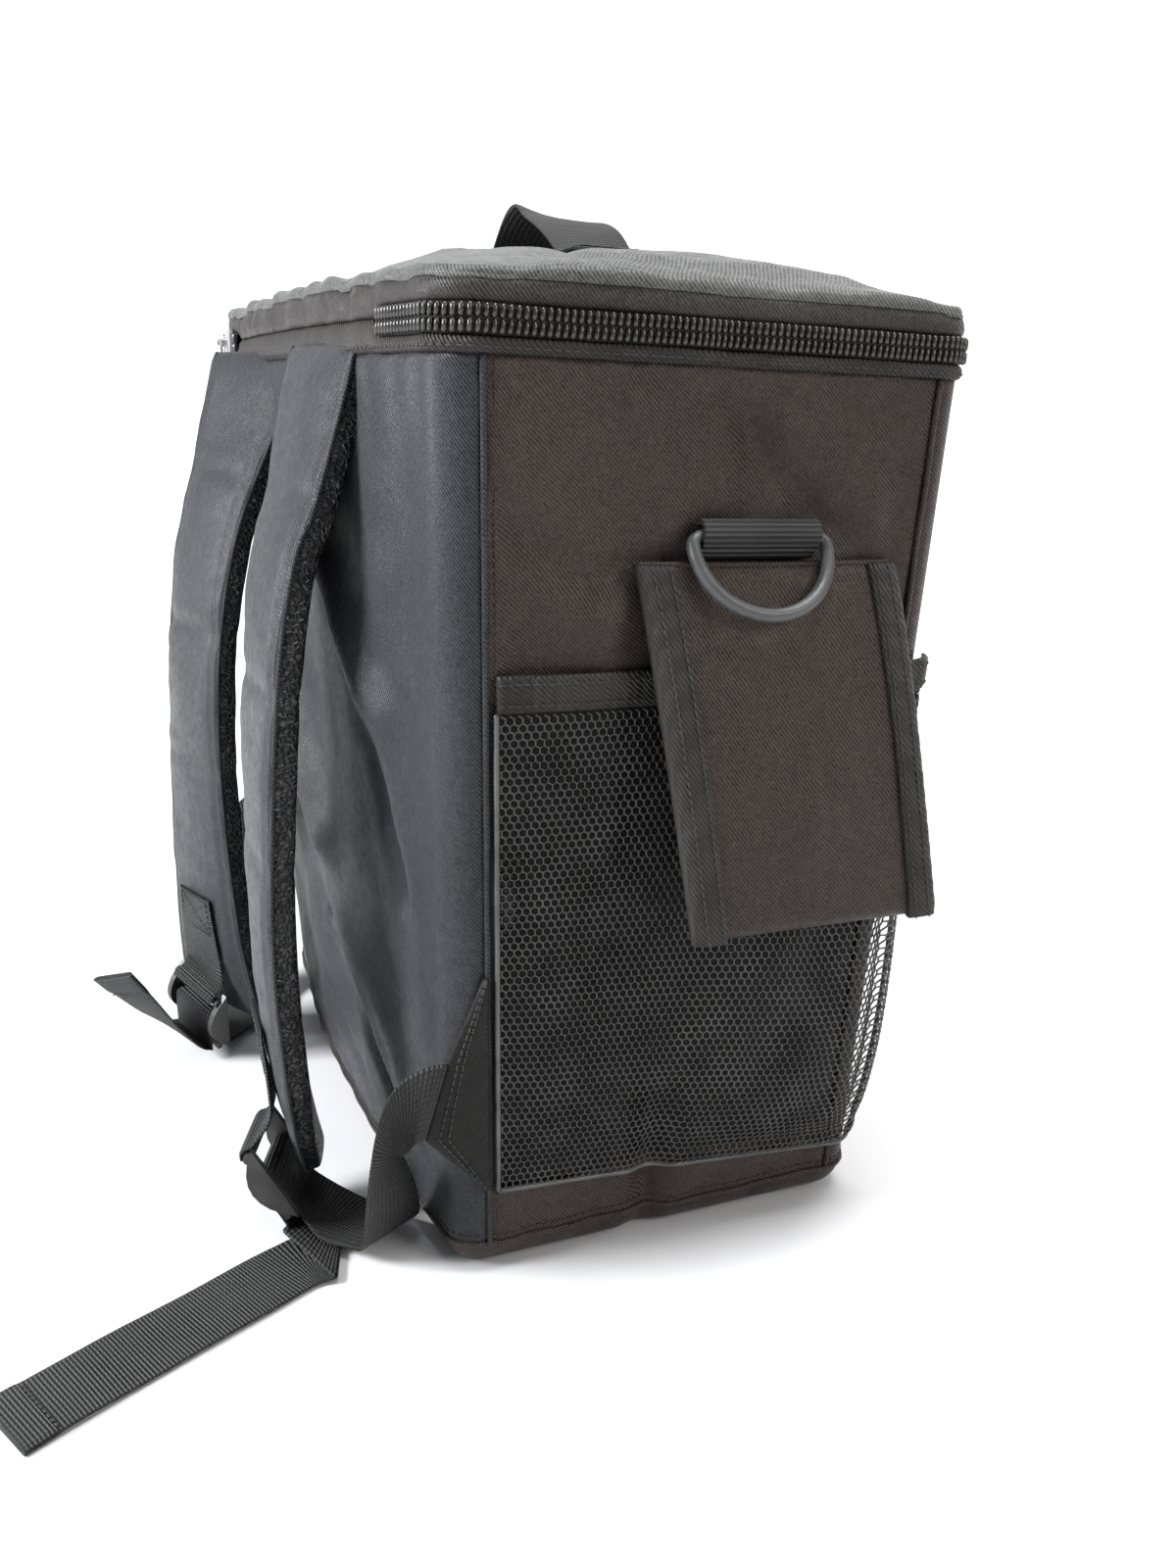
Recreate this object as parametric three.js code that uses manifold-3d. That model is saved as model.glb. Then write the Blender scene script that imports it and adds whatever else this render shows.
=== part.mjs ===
// A backpack cooler: a soft padded box with a zipped lid, two shoulder straps with
// ladder-lock buckles, a D-ring and a mesh pocket on each side, and a hanging pouch.
// Millimetres. +X is the wearer's left side, -Y the back panel that carries the
// straps, +Z up. The origin is the middle of the flat underside.

import * as THREE from 'three';
import { mergeVertices } from 'three/addons/utils/BufferGeometryUtils.js';
import Module from 'manifold-3d';

const wasm = await Module();
wasm.setup();

// Driving dimensions

const bodyWidth = 330;         // across the wearer's back, at the top seam
const bodyDepth = 208;         // back to front, at the top seam
const bodyHeight = 350;        // floor to the seam under the top band
const sideTaper = 8;           // how far each side leans in at the floor
const endTaper = 11;           // how far the back and front lean in at the floor
const cornerRadius = 14;       // upright corners
const wall = 5;                // cloth, foam and liner together
const baseRoll = 13;           // rounding between the underside and the walls
const backBulge = 15;          // padded back panel
const frontBulge = 6;
const sideHollow = 4;          // the side panels sink in a little
const backLean = 16;           // the right back corner stands further out
const wrap = 15;               // how far the back panel turns onto the sides
const gap = 0.3;               // between sewn pieces

const bandHeight = 5.5;        // bound band between the panels and the zip
const bandHeightBack = 11.5;   // the same band along the lid's hinge
const bandProud = 2.2;
const zipHeight = 9.5;         // two rows of coil and their tape
const zipThick = 3.2;
const zipEndLeft = 47;         // the zip's left end, from the left side of the back
const zipEndRight = 41;        // and its right end, where the sliders are parked
const lidBandHeight = 7;
const lidWall = 4;
const lidRim = 5;              // piped ridge above the lid band
const lidCrown = 19;           // rise of the lid from ridge to middle

const webWidth = 32;           // shoulder webbing
const webThick = 1.6;
const padWidth = 64;
const padFabric = 5;           // padded outer layer of a shoulder strap
const padMesh = 8;             // spacer mesh layer under it
const padStandOff = 46;        // how far a strap hangs off the back panel
const strapSpread = 62;        // strap centre from the middle, at the top seam
const webSlack = 14;           // how far the webbing bows out beside its tab
const tailReach = 118;         // the left tail's end, out from its buckle
const tailStub = 48;           // the right tail's, which sticks up
const tabLevel = 84;           // middle of the left tab above the floor
const tabRaise = 16;           // the right tab's webbing leaves higher up
const tabHeight = 91;          // sewn triangular tab
const tabReach = 26;
const tabThick = 3;

const handleSpan = 104;        // foot to foot
const handleWidth = 34;
const handleRise = 17;
const handleThick = 2;

const ringWire = 5.6;
const ringInner = 50;          // clear width of the D-ring
const ringDrop = 31.5;         // middle of the bar to the middle of the bow
const ringHeight = 294;        // bar above the floor
const ringOffset = 15;         // towards the front from the middle of the side
const ringLean = 6;            // degrees a ring tips out where nothing is under it
const ringClear = 0.5;         // bar in its webbing loop
const loopThick = 1.8;

const netTop = 245;            // mouth of the mesh pocket above the floor
const netBottomBack = 38;
const netBottomFront = 26;
const netThick = 1.2;
const netSeat = 1.2;           // its sewn edge off the panel's folds
const netBulge = 21;           // the filled pocket, towards the front
const netMouth = 6;            // how far its top edge stands off the panel
const elasticHeight = 13;
const elasticThick = 2.2;

const pouchWidth = 106;
const pouchHeight = 136;
const pouchTop = 283;          // mouth of the hanging pouch above the floor
const pouchThick = 1.8;
const pouchRoom = 7;           // hollow between its front and back cloth
const pouchShift = 20;         // it hangs askew, lower end towards the front
const pouchOut = 24;           // its lower end rests on the mesh pocket
const bindingWidth = 12.5;
const bindingProud = 1.1;

const lockWidth = 39;          // ladder-lock buckle
const lockLength = 35;
const lockPlate = 3;
const lockBow = 10;            // depth of its curved side plates
const lockBar = 4;

const sliderLength = 17;
const sliderWidth = 11;
const sliderPlate = 1.8;
const sliderClear = 0.9;       // over the curved run of the zip
const pullLength = 31;
const pullWidth = 8;
const pullThick = 1.5;

const halfWidth = bodyWidth / 2;
const halfDepth = bodyDepth / 2;
const zipBase = bodyHeight + bandHeight + 2 * gap;
const lidBase = zipBase + zipHeight + gap;
const rimBase = lidBase + lidBandHeight + gap;

// Materials

const material = (color, roughness, metalness = 0) =>
  new THREE.MeshStandardMaterial({ color, roughness, metalness });

const twill = material(0x34312f, 0.9);
const twillBlue = material(0x474a52, 0.9);
const lidCloth = material(0x2e3030, 0.9);
const binding = material(0x262422, 0.85);
const webbing = material(0x1f1e1d, 0.8);
const spacer = material(0x121212, 0.95);
const netting = material(0x171717, 0.8);
const coil = material(0x151515, 0.45);
const ringPlastic = material(0x3b3d3e, 0.45);
const lockPlastic = material(0x2b2a29, 0.5);
const nickel = material(0xb8bbbd, 0.3, 1);

// Small helpers

const vec = (x, y, z) => new THREE.Vector3(x, y, z);
const mix = THREE.MathUtils.lerp;
const clamp = THREE.MathUtils.clamp;
const smooth = (t) => THREE.MathUtils.smoothstep(t, 0, 1);
const hump = (t) => Math.sin(Math.PI * clamp(t, 0, 1));

function steps(from, to, count) {
  return Array.from({ length: count + 1 }, (_, i) => mix(from, to, i / count));
}

// Reads a column of a short table at t from 0 to 1, with smooth passage through its rows.
function column(table, name, t) {
  const place = clamp(t, 0, 1) * (table.length - 1);
  const i = Math.min(Math.floor(place), table.length - 2);
  const u = place - i;
  const at = (k) => table[clamp(k, 0, table.length - 1)][name];
  const [a, b, c, d] = [at(i - 1), at(i), at(i + 1), at(i + 2)];
  return b + 0.5 * u * (c - a + u * (2 * a - 5 * b + 4 * c - d + u * (3 * (b - c) + d - a)));
}

function signedVolume(points, faces) {
  let sum = 0;
  const cross = vec(0, 0, 0);
  for (const [a, b, c] of faces) {
    sum += points[a].dot(cross.crossVectors(points[b], points[c]));
  }
  return sum / 6;
}

function closedGeometry(points, faces) {
  const out = signedVolume(points, faces) > 0;
  const geometry = new THREE.BufferGeometry();
  const position = points.flatMap((p) => [p.x, p.y, p.z]);
  const index = faces.flatMap(([a, b, c]) => (out ? [a, b, c] : [a, c, b]));
  geometry.setAttribute('position', new THREE.Float32BufferAttribute(position, 3));
  geometry.setIndex(index);
  geometry.computeVertexNormals();
  return geometry;
}

// Joins rings of equally many points into one closed skin. A ring's first half runs along
// one face and its second half comes back along the other, so 'zip' caps pair them up;
// 'fan' caps meet in the ring's middle; a loop has no caps.
function loft(rings, cap = 'zip') {
  const n = rings[0].length;
  const points = rings.flat();
  const faces = [];
  const count = cap === 'loop' ? rings.length : rings.length - 1;
  for (let i = 0; i < count; i += 1) {
    const j = (i + 1) % rings.length;
    for (let k = 0; k < n; k += 1) {
      const l = (k + 1) % n;
      faces.push([i * n + k, j * n + k, j * n + l], [i * n + k, j * n + l, i * n + l]);
    }
  }
  const ends = [[0, true], [(rings.length - 1) * n, false]];
  if (cap === 'zip') {
    for (const [start, first] of ends) {
      for (let k = 0; k < n / 2 - 1; k += 1) {
        const quad = [start + k, start + k + 1, start + n - 2 - k, start + n - 1 - k];
        const [a, b, c, d] = first ? quad : quad.reverse();
        faces.push([a, b, c], [a, c, d]);
      }
    }
  }
  if (cap === 'fan') {
    for (const [start, first] of ends) {
      const middle = vec(0, 0, 0);
      for (let k = 0; k < n; k += 1) middle.addScaledVector(points[start + k], 1 / n);
      points.push(middle);
      for (let k = 0; k < n; k += 1) {
        const [a, b] = [start + k, start + ((k + 1) % n)];
        faces.push(first ? [a, b, points.length - 1] : [b, a, points.length - 1]);
      }
    }
  }
  return closedGeometry(points, faces);
}

function toSolid(geometry) {
  const bare = geometry.clone();
  bare.deleteAttribute('normal');
  bare.deleteAttribute('uv');
  const merged = mergeVertices(bare, 1e-4);
  return new wasm.Manifold(new wasm.Mesh({
    numProp: 3,
    vertProperties: merged.attributes.position.array,
    triVerts: new Uint32Array(merged.index.array),
  }));
}

function toGeometry(solid) {
  const { vertProperties, triVerts } = solid.getMesh();
  const geometry = new THREE.BufferGeometry();
  geometry.setAttribute('position', new THREE.Float32BufferAttribute(vertProperties, 3));
  geometry.setIndex(Array.from(triVerts));
  geometry.computeVertexNormals();
  return geometry;
}

function block(x, y, z, sx, sy, sz) {
  return toSolid(new THREE.BoxGeometry(sx, sy, sz).translate(x, y, z));
}

const joined = (solids) => toGeometry(solids.reduce((a, b) => a.add(b)));

const root = new THREE.Group();

function add(name, geometry, look) {
  const mesh = new THREE.Mesh(geometry, look);
  mesh.name = name;
  root.add(mesh);
  return mesh;
}

// The body's outline. A place s runs round it: 0 to 1 is the left side from back to
// front, 1 to 2 its front corner, 2 to 3 the front, 3 to 4 a corner, 4 to 5 the right
// side, 5 to 6 a corner, 6 to 7 the back from right to left, 7 to 8 the last corner.

const seamBack = (wrap - cornerRadius) / (bodyDepth - 2 * cornerRadius);
const placeOnBack = (x) => 6 + (x + halfWidth - cornerRadius) / (bodyWidth - 2 * cornerRadius);

// Folds of the back panel: from and to are shares of its width and height, wide is a
// share of the width and high a share of the bulge.
const backFolds = [
  { x0: 0.06, z0: 0.90, x1: 0.36, z1: 0.62, wide: 0.09, high: 0.42 },
  { x0: 0.36, z0: 0.62, x1: 0.43, z1: 0.28, wide: 0.08, high: 0.30 },
  { x0: -0.16, z0: 0.77, x1: 0.11, z1: 0.42, wide: 0.08, high: 0.34 },
  { x0: -0.10, z0: 0.40, x1: 0.14, z1: 0.16, wide: 0.07, high: -0.28 },
  { x0: 0.24, z0: 0.88, x1: 0.44, z1: 0.68, wide: 0.10, high: 0.30 },
];

// Dents of a side panel: y and z are shares of its depth and height, negative is inward.
const sideDents = [
  { y0: 0.02, z0: 0.97, y1: 0.26, z1: 0.84, wide: 0.10, high: -0.8 },
  { y0: 0.34, z0: 0.96, y1: 0.30, z1: 0.70, wide: 0.12, high: 0.6 },
  { y0: -0.20, z0: 0.94, y1: -0.30, z1: 0.70, wide: 0.16, high: 0.5 },
  { y0: -0.05, z0: 0.17, y1: -0.06, z1: 0.03, wide: 0.08, high: -0.9 },
];

function foldAt(u, v, u0, v0, u1, v1, wide) {
  const [du, dv] = [u1 - u0, v1 - v0];
  const t = clamp(((u - u0) * du + (v - v0) * dv) / (du * du + dv * dv), 0, 1);
  const off = Math.hypot(u - u0 - du * t, v - v0 - dv * t) / wide;
  return off < 1 ? smooth(1 - off) : 0;
}

function swell(s, z) {
  const side = Math.floor(s) % 8;
  const t = s - Math.floor(s);
  const up = clamp(z / bodyHeight, 0, 1);
  const across = 4 * t * (1 - t);
  if (side === 6) {
    const folds = backFolds.map((f) => f.high * foldAt(t - 0.5, up, f.x0, f.z0, f.x1, f.z1, f.wide));
    const pad = 0.5 + 0.5 * hump(up);
    return backBulge * across * (pad + folds.reduce((a, b) => a + b, 0) * hump(up));
  }
  if (side === 2) return frontBulge * across * hump(up);
  if (side === 0 || side === 4) {
    const y = side === 0 ? t - 0.5 : 0.5 - t;
    const dents = sideDents.map((d) => d.high * foldAt(y, up, d.y0, d.z0, d.y1, d.z1, d.wide));
    return sideHollow * across * (dents.reduce((a, b) => a + b, 0) - 0.6 * hump(up));
  }
  return 0;
}

// The stuffed body leans out at its right back corner, most at the top.
function lean(p) {
  const share = clamp(0.5 - p.x / bodyWidth, 0, 1) * clamp(0.5 - p.y / bodyDepth, 0, 1);
  p.y -= backLean * share * Math.max(p.z, 0) / bodyHeight;
  return p;
}

function onBody(s, z, inset) {
  const place = ((s % 8) + 8) % 8;
  const side = Math.floor(place);
  const t = place - side;
  const drop = 1 - clamp(z / bodyHeight, 0, 1);
  const lx = halfWidth - sideTaper * drop - cornerRadius;
  const ly = halfDepth - endTaper * drop - cornerRadius;
  const angle = (Math.PI / 2) * (side % 2 ? (side - 1) / 2 + t : side / 2);
  const n = vec(Math.cos(angle), Math.sin(angle), 0);
  const centres = [
    [lx, mix(-ly, ly, t)], [lx, ly], [mix(lx, -lx, t), ly], [-lx, ly],
    [-lx, mix(ly, -ly, t)], [-lx, -ly], [mix(-lx, lx, t), -ly], [lx, -ly],
  ];
  const [cx, cy] = centres[side];
  const p = vec(cx, cy, z).addScaledVector(n, cornerRadius + swell(place, z) - inset);
  return lean(p);
}

// Places round the body, denser in the corners and the back.
function places(from, to) {
  const perSegment = [9, 2, 5, 2, 9, 2, 12, 3];
  const list = [from];
  for (let side = Math.floor(from); side < to; side += 1) {
    const n = perSegment[((side % 8) + 8) % 8];
    for (const s of steps(side, side + 1, n)) {
      if (s > list[list.length - 1] + 0.02 && s < to - 0.02) list.push(s);
    }
  }
  list.push(to);
  return list;
}

function wallPanel(from, to, rows) {
  const heights = steps(baseRoll + gap, bodyHeight - gap, rows);
  const rings = places(from, to).map((s) => [
    ...heights.map((z) => onBody(s, z, 0)),
    ...heights.slice().reverse().map((z) => onBody(s, z, wall)),
  ]);
  return loft(rings);
}

function addBody() {
  const seam = gap / (bodyDepth - 2 * cornerRadius);
  const backFrom = 5 - seamBack;
  const backTo = 8 + seamBack;
  add('back_panel', wallPanel(backFrom + seam, backTo - seam, 14), twillBlue);
  add('left_side_panel', wallPanel(seamBack + seam, 1 - seam, 12), twill);
  add('front_panel', wallPanel(1 + seam, 4 - seam, 8), twill);
  add('right_side_panel', wallPanel(4 + seam, backFrom - seam, 12), twill);

  const round = places(0, 8).slice(0, -1);
  const ring = (z, inset) => round.map((s) => onBody(s, z, inset));
  const base = [
    ring(0, baseRoll),
    ring(0.3 * baseRoll, 0.3 * baseRoll),
    ring(baseRoll, 0),
    ring(baseRoll, wall),
    ring(wall + 0.2 * baseRoll, wall + 0.4 * baseRoll),
    ring(wall, wall + baseRoll),
  ];
  add('base_panel', loft(base, 'fan'), twill);
}

// Top band, zip and lid

const zipFrom = placeOnBack(halfWidth - zipEndLeft);
const zipEnd = placeOnBack(zipEndRight - halfWidth);
const zipTo = 8 + zipEnd;
const stepUp = 0.04;

// The hinge stretch between the zip's ends, where the band stands higher.
const isHinge = (s) => s > zipEnd + 1.5 * stepUp && s < zipFrom - 1.5 * stepUp;

function roundPlaces() {
  const extra = [zipEnd + stepUp, zipEnd + 2 * stepUp, zipFrom - 2 * stepUp, zipFrom - stepUp];
  const kept = places(0, 8).slice(0, -1).filter((s) => extra.every((e) => Math.abs(e - s) > stepUp));
  return [...kept, ...extra].sort((a, b) => a - b);
}

function addTop() {
  const round = roundPlaces();
  const bandTop = (s) => bodyHeight + (isHinge(s) ? bandHeightBack : bandHeight);
  const band = round.map((s) => [
    onBody(s, bodyHeight + gap, wall),
    onBody(s, bodyHeight + gap, -0.6 * bandProud),
    onBody(s, mix(bodyHeight, bandTop(s), 0.5), -bandProud),
    onBody(s, bandTop(s), -0.4 * bandProud),
    onBody(s, bandTop(s), wall),
  ]);
  add('top_band', loft(band, 'loop'), binding);

  const zip = places(zipFrom, zipTo).map((s) => [
    onBody(s, zipBase, 0),
    onBody(s, zipBase, -0.4 * zipThick),
    onBody(s, zipBase + 0.25 * zipHeight, -0.7 * zipThick),
    onBody(s, zipBase + 0.75 * zipHeight, -0.7 * zipThick),
    onBody(s, zipBase + zipHeight, -0.4 * zipThick),
    onBody(s, zipBase + zipHeight, 0),
    onBody(s, zipBase + 0.7 * zipHeight, 0.3 * zipThick),
    onBody(s, zipBase + 0.3 * zipHeight, 0.3 * zipThick),
  ]);
  add('zip_chain', loft(zip), coil);

  const lidBottom = (s) => (isHinge(s) ? bodyHeight + bandHeightBack + gap : lidBase);
  const lidBand = round.map((s) => [
    onBody(s, lidBottom(s), lidWall),
    onBody(s, lidBottom(s), 0),
    onBody(s, mix(lidBottom(s), lidBase + lidBandHeight, 0.6), -0.3 * bandProud),
    onBody(s, lidBase + lidBandHeight, -0.5 * bandProud),
    onBody(s, lidBase + lidBandHeight, lidWall),
  ]);
  add('lid_band', loft(lidBand, 'loop'), lidCloth);
  add('lid_panel', lidPanel(round), lidCloth);
}

// Height of the crowned lid's upper face over a point; it is fullest over its middle.
function lidTop(x, y) {
  const across = (1 - clamp(Math.abs(x) / halfWidth, 0, 1) ** 3) ** 0.8;
  const deep = (1 - clamp(Math.abs(y) / halfDepth, 0, 1) ** 2.6) ** 0.8;
  return rimBase + lidWall + lidCrown * across * deep;
}

function lidPanel(round) {
  const shares = [0.05, 0.15, 0.34, 0.6, 0.88];
  const ring = (share, under) => round.map((s) => {
    const p = onBody(s, rimBase, 0).multiplyScalar(1 - share);
    return vec(p.x, p.y, lidTop(p.x, p.y) - under);
  });
  const rim = (z, proud) => round.map((s) => onBody(s, z, -proud));
  const rings = [
    ...shares.slice().reverse().map((share) => ring(share, lidWall)),
    rim(rimBase, -lidWall),
    rim(rimBase, 0.4 * bandProud),
    rim(rimBase + 0.35 * lidRim, bandProud),
    rim(rimBase + 0.8 * lidRim, 0.5 * bandProud),
    ...shares.map((share) => ring(share, 0)),
  ];
  return loft(rings, 'fan');
}

// Flat webbing along rows of { p, w }: middle line and width direction. A row at a fold
// also states its own face direction n and how much longer its cut across the fold is.
function ribbon(rows, width, thick) {
  // Where the webbing twists, its two edges run apart and the face lies between them.
  const edge = (i, a) => {
    const { p, w } = rows[clamp(i, 0, rows.length - 1)];
    return p.clone().addScaledVector(w, a * width / 2);
  };
  const edgeFace = (i, a) => edge(i + 1, a).sub(edge(i - 1, a)).cross(rows[i].w).normalize();
  const rings = rows.map(({ p, w, n, stretch = 1 }, i) => {
    const face = n ?? edgeFace(i, -1).add(edgeFace(i, 1)).normalize();
    const at = (across, out) => p.clone()
      .addScaledVector(w, across * width * stretch / 2)
      .addScaledVector(face, out * thick / 2);
    return [at(-1, 1), at(1, 1), at(1, -1), at(-1, -1)];
  });
  return loft(rings);
}

function addHandle() {
  const half = handleSpan / 2;
  const rows = [
    { along: -1.17, rise: 0, turn: 0 }, { along: -0.86, rise: 0, turn: 0 },
    { along: -0.72, rise: 0.30, turn: -8 }, { along: -0.48, rise: 0.78, turn: -22 },
    { along: -0.22, rise: 1.0, turn: -20 }, { along: 0.05, rise: 0.92, turn: -4 },
    { along: 0.34, rise: 0.74, turn: 6 }, { along: 0.62, rise: 0.42, turn: 8 },
    { along: 0.82, rise: 0.08, turn: 4 }, { along: 0.90, rise: 0, turn: 0 },
    { along: 1.17, rise: 0, turn: 0 },
  ].map(({ along, rise, turn }) => {
    const x = along * half;
    const seat = Math.max(...[-0.5, 0, 0.5].map((y) => lidTop(x, y * handleWidth)));
    const angle = THREE.MathUtils.degToRad(turn);
    return {
      p: vec(x, 0, seat + gap + handleThick / 2 + 0.6 * rise * handleThick + rise * handleRise),
      w: vec(0, Math.cos(angle), Math.sin(angle)),
    };
  });
  add('top_handle', ribbon(rows, handleWidth, handleThick), webbing);
}

// Zip sliders with their hanging pulls, at the right end of the zip

const sliderSeat = 0.7 * zipThick + sliderClear + sliderPlate / 2;
const bridgeRadius = 0.9;
const knuckleInner = bridgeRadius + 0.35;
const knuckleOuter = knuckleInner + 0.9;
const bridgeOut = sliderPlate / 2 + knuckleOuter + 1;

function cylinderAlongX(radius, length, sides) {
  return toSolid(new THREE.CylinderGeometry(radius, radius, length, sides).rotateZ(Math.PI / 2));
}

function addSlider(letter, s, turn) {
  const seat = onBody(s, zipBase + zipHeight / 2, -sliderSeat);
  const place = (mesh) => {
    mesh.position.copy(seat);
    mesh.rotation.z = THREE.MathUtils.degToRad(turn);
  };
  const post = 0.28 * sliderLength;
  const postReach = bridgeOut + bridgeRadius;
  place(add(`zip_slider_${letter}`, joined([
    block(0, 0, 0, sliderLength, sliderPlate, sliderWidth),
    block(0, 0, 0, 0.7 * sliderLength, sliderPlate, 1.2 * sliderWidth),
    block(-post, -postReach / 2, 0, 2 * bridgeRadius, postReach, 3 * bridgeRadius),
    block(post, -postReach / 2, 0, 2 * bridgeRadius, postReach, 3 * bridgeRadius),
    cylinderAlongX(bridgeRadius, 2 * post, 8).translate([0, -bridgeOut, 0]),
  ]), nickel));

  // The pull turns on the bridge by a knuckle at its upper end.
  const half = pullWidth / 2;
  const outline = new THREE.Shape();
  outline.moveTo(-0.6 * half, 0);
  outline.lineTo(0.6 * half, 0);
  outline.lineTo(half, -0.35 * pullLength);
  outline.absarc(0, half - pullLength, half, 0, -Math.PI, true);
  outline.lineTo(-half, -0.35 * pullLength);
  const window = new THREE.Path();
  window.absellipse(0, 1.5 * half - pullLength, 0.5 * half, 0.9 * half, 0, 2 * Math.PI, false);
  outline.holes.push(window);
  const tab = new THREE.ExtrudeGeometry(outline, {
    depth: pullThick, bevelEnabled: false, curveSegments: 6,
  });
  tab.translate(0, 0, -pullThick / 2);
  tab.rotateX(Math.PI / 2);
  const knuckle = cylinderAlongX(knuckleOuter, 0.3 * sliderLength, 12);
  const bore = cylinderAlongX(knuckleInner, sliderLength, 12);
  const pull = toSolid(tab).add(knuckle).subtract(bore).translate([0, -bridgeOut, 0]);
  place(add(`zip_pull_${letter}`, toGeometry(pull), nickel));
}

// D-ring and its webbing loop. Side is 1 on the wearer's left and -1 on the right.

const loopRadius = ringWire / 2 + ringClear + loopThick;
const ringPlace = 0.5 + ringOffset / (bodyDepth - 2 * cornerRadius);

function sideX(y, z) {
  const t = 0.5 + y / (bodyDepth - 2 * cornerRadius);
  return onBody(clamp(t, 0, 1), z, 0).x;
}

const barOut = Math.max(...[-1, 0, 1].map((k) =>
  sideX(ringOffset + k * ringInner / 2, ringHeight))) + gap + loopRadius;

function addRing(name, side, leanDegrees) {
  const half = (ringInner + ringWire) / 2;
  const corner = 0.12 * half;
  const path = [vec(0, -half + corner, 0), vec(0, half - corner, 0), vec(0, half, -corner)];
  for (const a of steps(0, Math.PI, 16)) {
    path.push(vec(0, half * Math.cos(a), -corner - (ringDrop - corner) * Math.sin(a) ** 0.9));
  }
  const points = path.filter((p, i) => i === 0 || p.distanceTo(path[i - 1]) > 0.5);
  const rings = points.map((p, i) => {
    const n = points.length;
    const along = points[(i + 1) % n].clone().sub(points[(i + n - 1) % n]).normalize();
    const inward = along.clone().cross(vec(1, 0, 0));
    return steps(0, 2 * Math.PI, 8).slice(0, -1).map((a) => p.clone()
      .addScaledVector(inward, ringWire / 2 * Math.cos(a))
      .add(vec(ringWire / 2 * Math.sin(a), 0, 0)));
  });
  const ring = add(`${name}_d_ring`, loft(rings, 'loop'), ringPlastic);
  ring.position.set(side * barOut, ringOffset, ringHeight);
  ring.rotation.y = -side * THREE.MathUtils.degToRad(leanDegrees);

  // Webbing folded over the bar, both layers sewn to the side panel below it.
  const back = -loopRadius;
  const foot = -loopRadius - 0.8 * loopRadius;
  const outline = new THREE.Shape();
  outline.moveTo(back, 0);
  outline.lineTo(back, foot);
  outline.lineTo(back + 2 * loopThick + gap, foot);
  outline.lineTo(loopRadius * 0.75, -loopRadius * 0.75);
  outline.absarc(0, 0, loopRadius, -Math.PI / 4, Math.PI, false);
  const bore = new THREE.Path();
  bore.absarc(0, 0, ringWire / 2 + ringClear, 0, 2 * Math.PI, true);
  outline.holes.push(bore);
  const width = ringInner - 2;
  const loop = new THREE.ExtrudeGeometry(outline, {
    depth: width, bevelEnabled: false, curveSegments: 8,
  });
  loop.translate(0, 0, -width / 2);
  loop.rotateX(Math.PI / 2);
  if (side < 0) loop.rotateZ(Math.PI);
  add(`${name}_ring_loop`, loop, webbing).position.set(side * barOut, ringOffset, ringHeight);
}

// Mesh pocket. u runs from back to front and v from its foot to its mouth.

const pocketAcross = [
  { out: 0 }, { out: 0.16 }, { out: 0.24 }, { out: 0.32 }, { out: 0.42 },
  { out: 0.56 }, { out: 0.74 }, { out: 0.92 }, { out: 0.98 }, { out: 0.74 }, { out: 0 },
];
const pocketUp = [
  { out: 0 }, { out: 0.62 }, { out: 0.92 }, { out: 1 }, { out: 0.96 },
  { out: 0.86 }, { out: 0.72 }, { out: 0.56 }, { out: 0.40 }, { out: 0.30 },
];
const pocketFrom = seamBack + 0.02;
const pocketTo = 0.98;

function pocketPoint(side, u, z, out) {
  const s = side > 0 ? mix(pocketFrom, pocketTo, u) : 5 - mix(pocketFrom, pocketTo, u);
  return onBody(s, z, -out);
}

function pocketStandOff(u, v) {
  const room = Math.max(netBulge * column(pocketUp, 'out', v), netMouth);
  return netSeat + Math.max(column(pocketAcross, 'out', u), 0) * (v === 0 ? 0 : room);
}

function addPocket(name, side) {
  const mouth = netTop - elasticHeight - gap;
  const rings = steps(0, 1, 12).map((u) => {
    const foot = mix(netBottomBack, netBottomFront, u);
    const face = (extra) => steps(0, 1, 9).map((v) =>
      pocketPoint(side, u, mix(foot, mouth, v), pocketStandOff(u, v) + extra));
    return [...face(netThick), ...face(0).reverse()];
  });
  add(`${name}_net_pocket`, loft(rings), netting);
  const band = steps(0, 1, 12).map((u) => {
    const out = pocketStandOff(u, 1);
    return [
      pocketPoint(side, u, netTop, out + elasticThick),
      pocketPoint(side, u, netTop - elasticHeight, out + elasticThick),
      pocketPoint(side, u, netTop - elasticHeight, out),
      pocketPoint(side, u, netTop, out),
    ];
  });
  add(`${name}_pocket_elastic`, loft(band), binding);
}

// Hanging pouch on the left side. u runs from back to front and v from mouth to fold.

const pouchBack = ringOffset + 6 - pouchWidth / 2;
const pouchSeat = Math.max(...[0, 0.5, 1].map((u) => sideX(pouchBack + u * pouchWidth, pouchTop)));

// The back cloth hangs from its sewn top edge and rests on the pocket below.
const pouchRest = (v) => pouchSeat + gap + pouchOut * v ** 0.7;

function pouchPoint(u, v, out) {
  const y = pouchBack + u * pouchWidth + pouchShift * v;
  return vec(pouchRest(v) + out, y, pouchTop - pouchHeight * v);
}

function pouchHollow(u, v) {
  const drop = (0.5 + 0.5 * smooth(2 * v)) * (1 - 0.8 * v ** 3);
  return pouchRoom * (0.12 + 0.88 * hump(u)) * drop;
}

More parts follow.
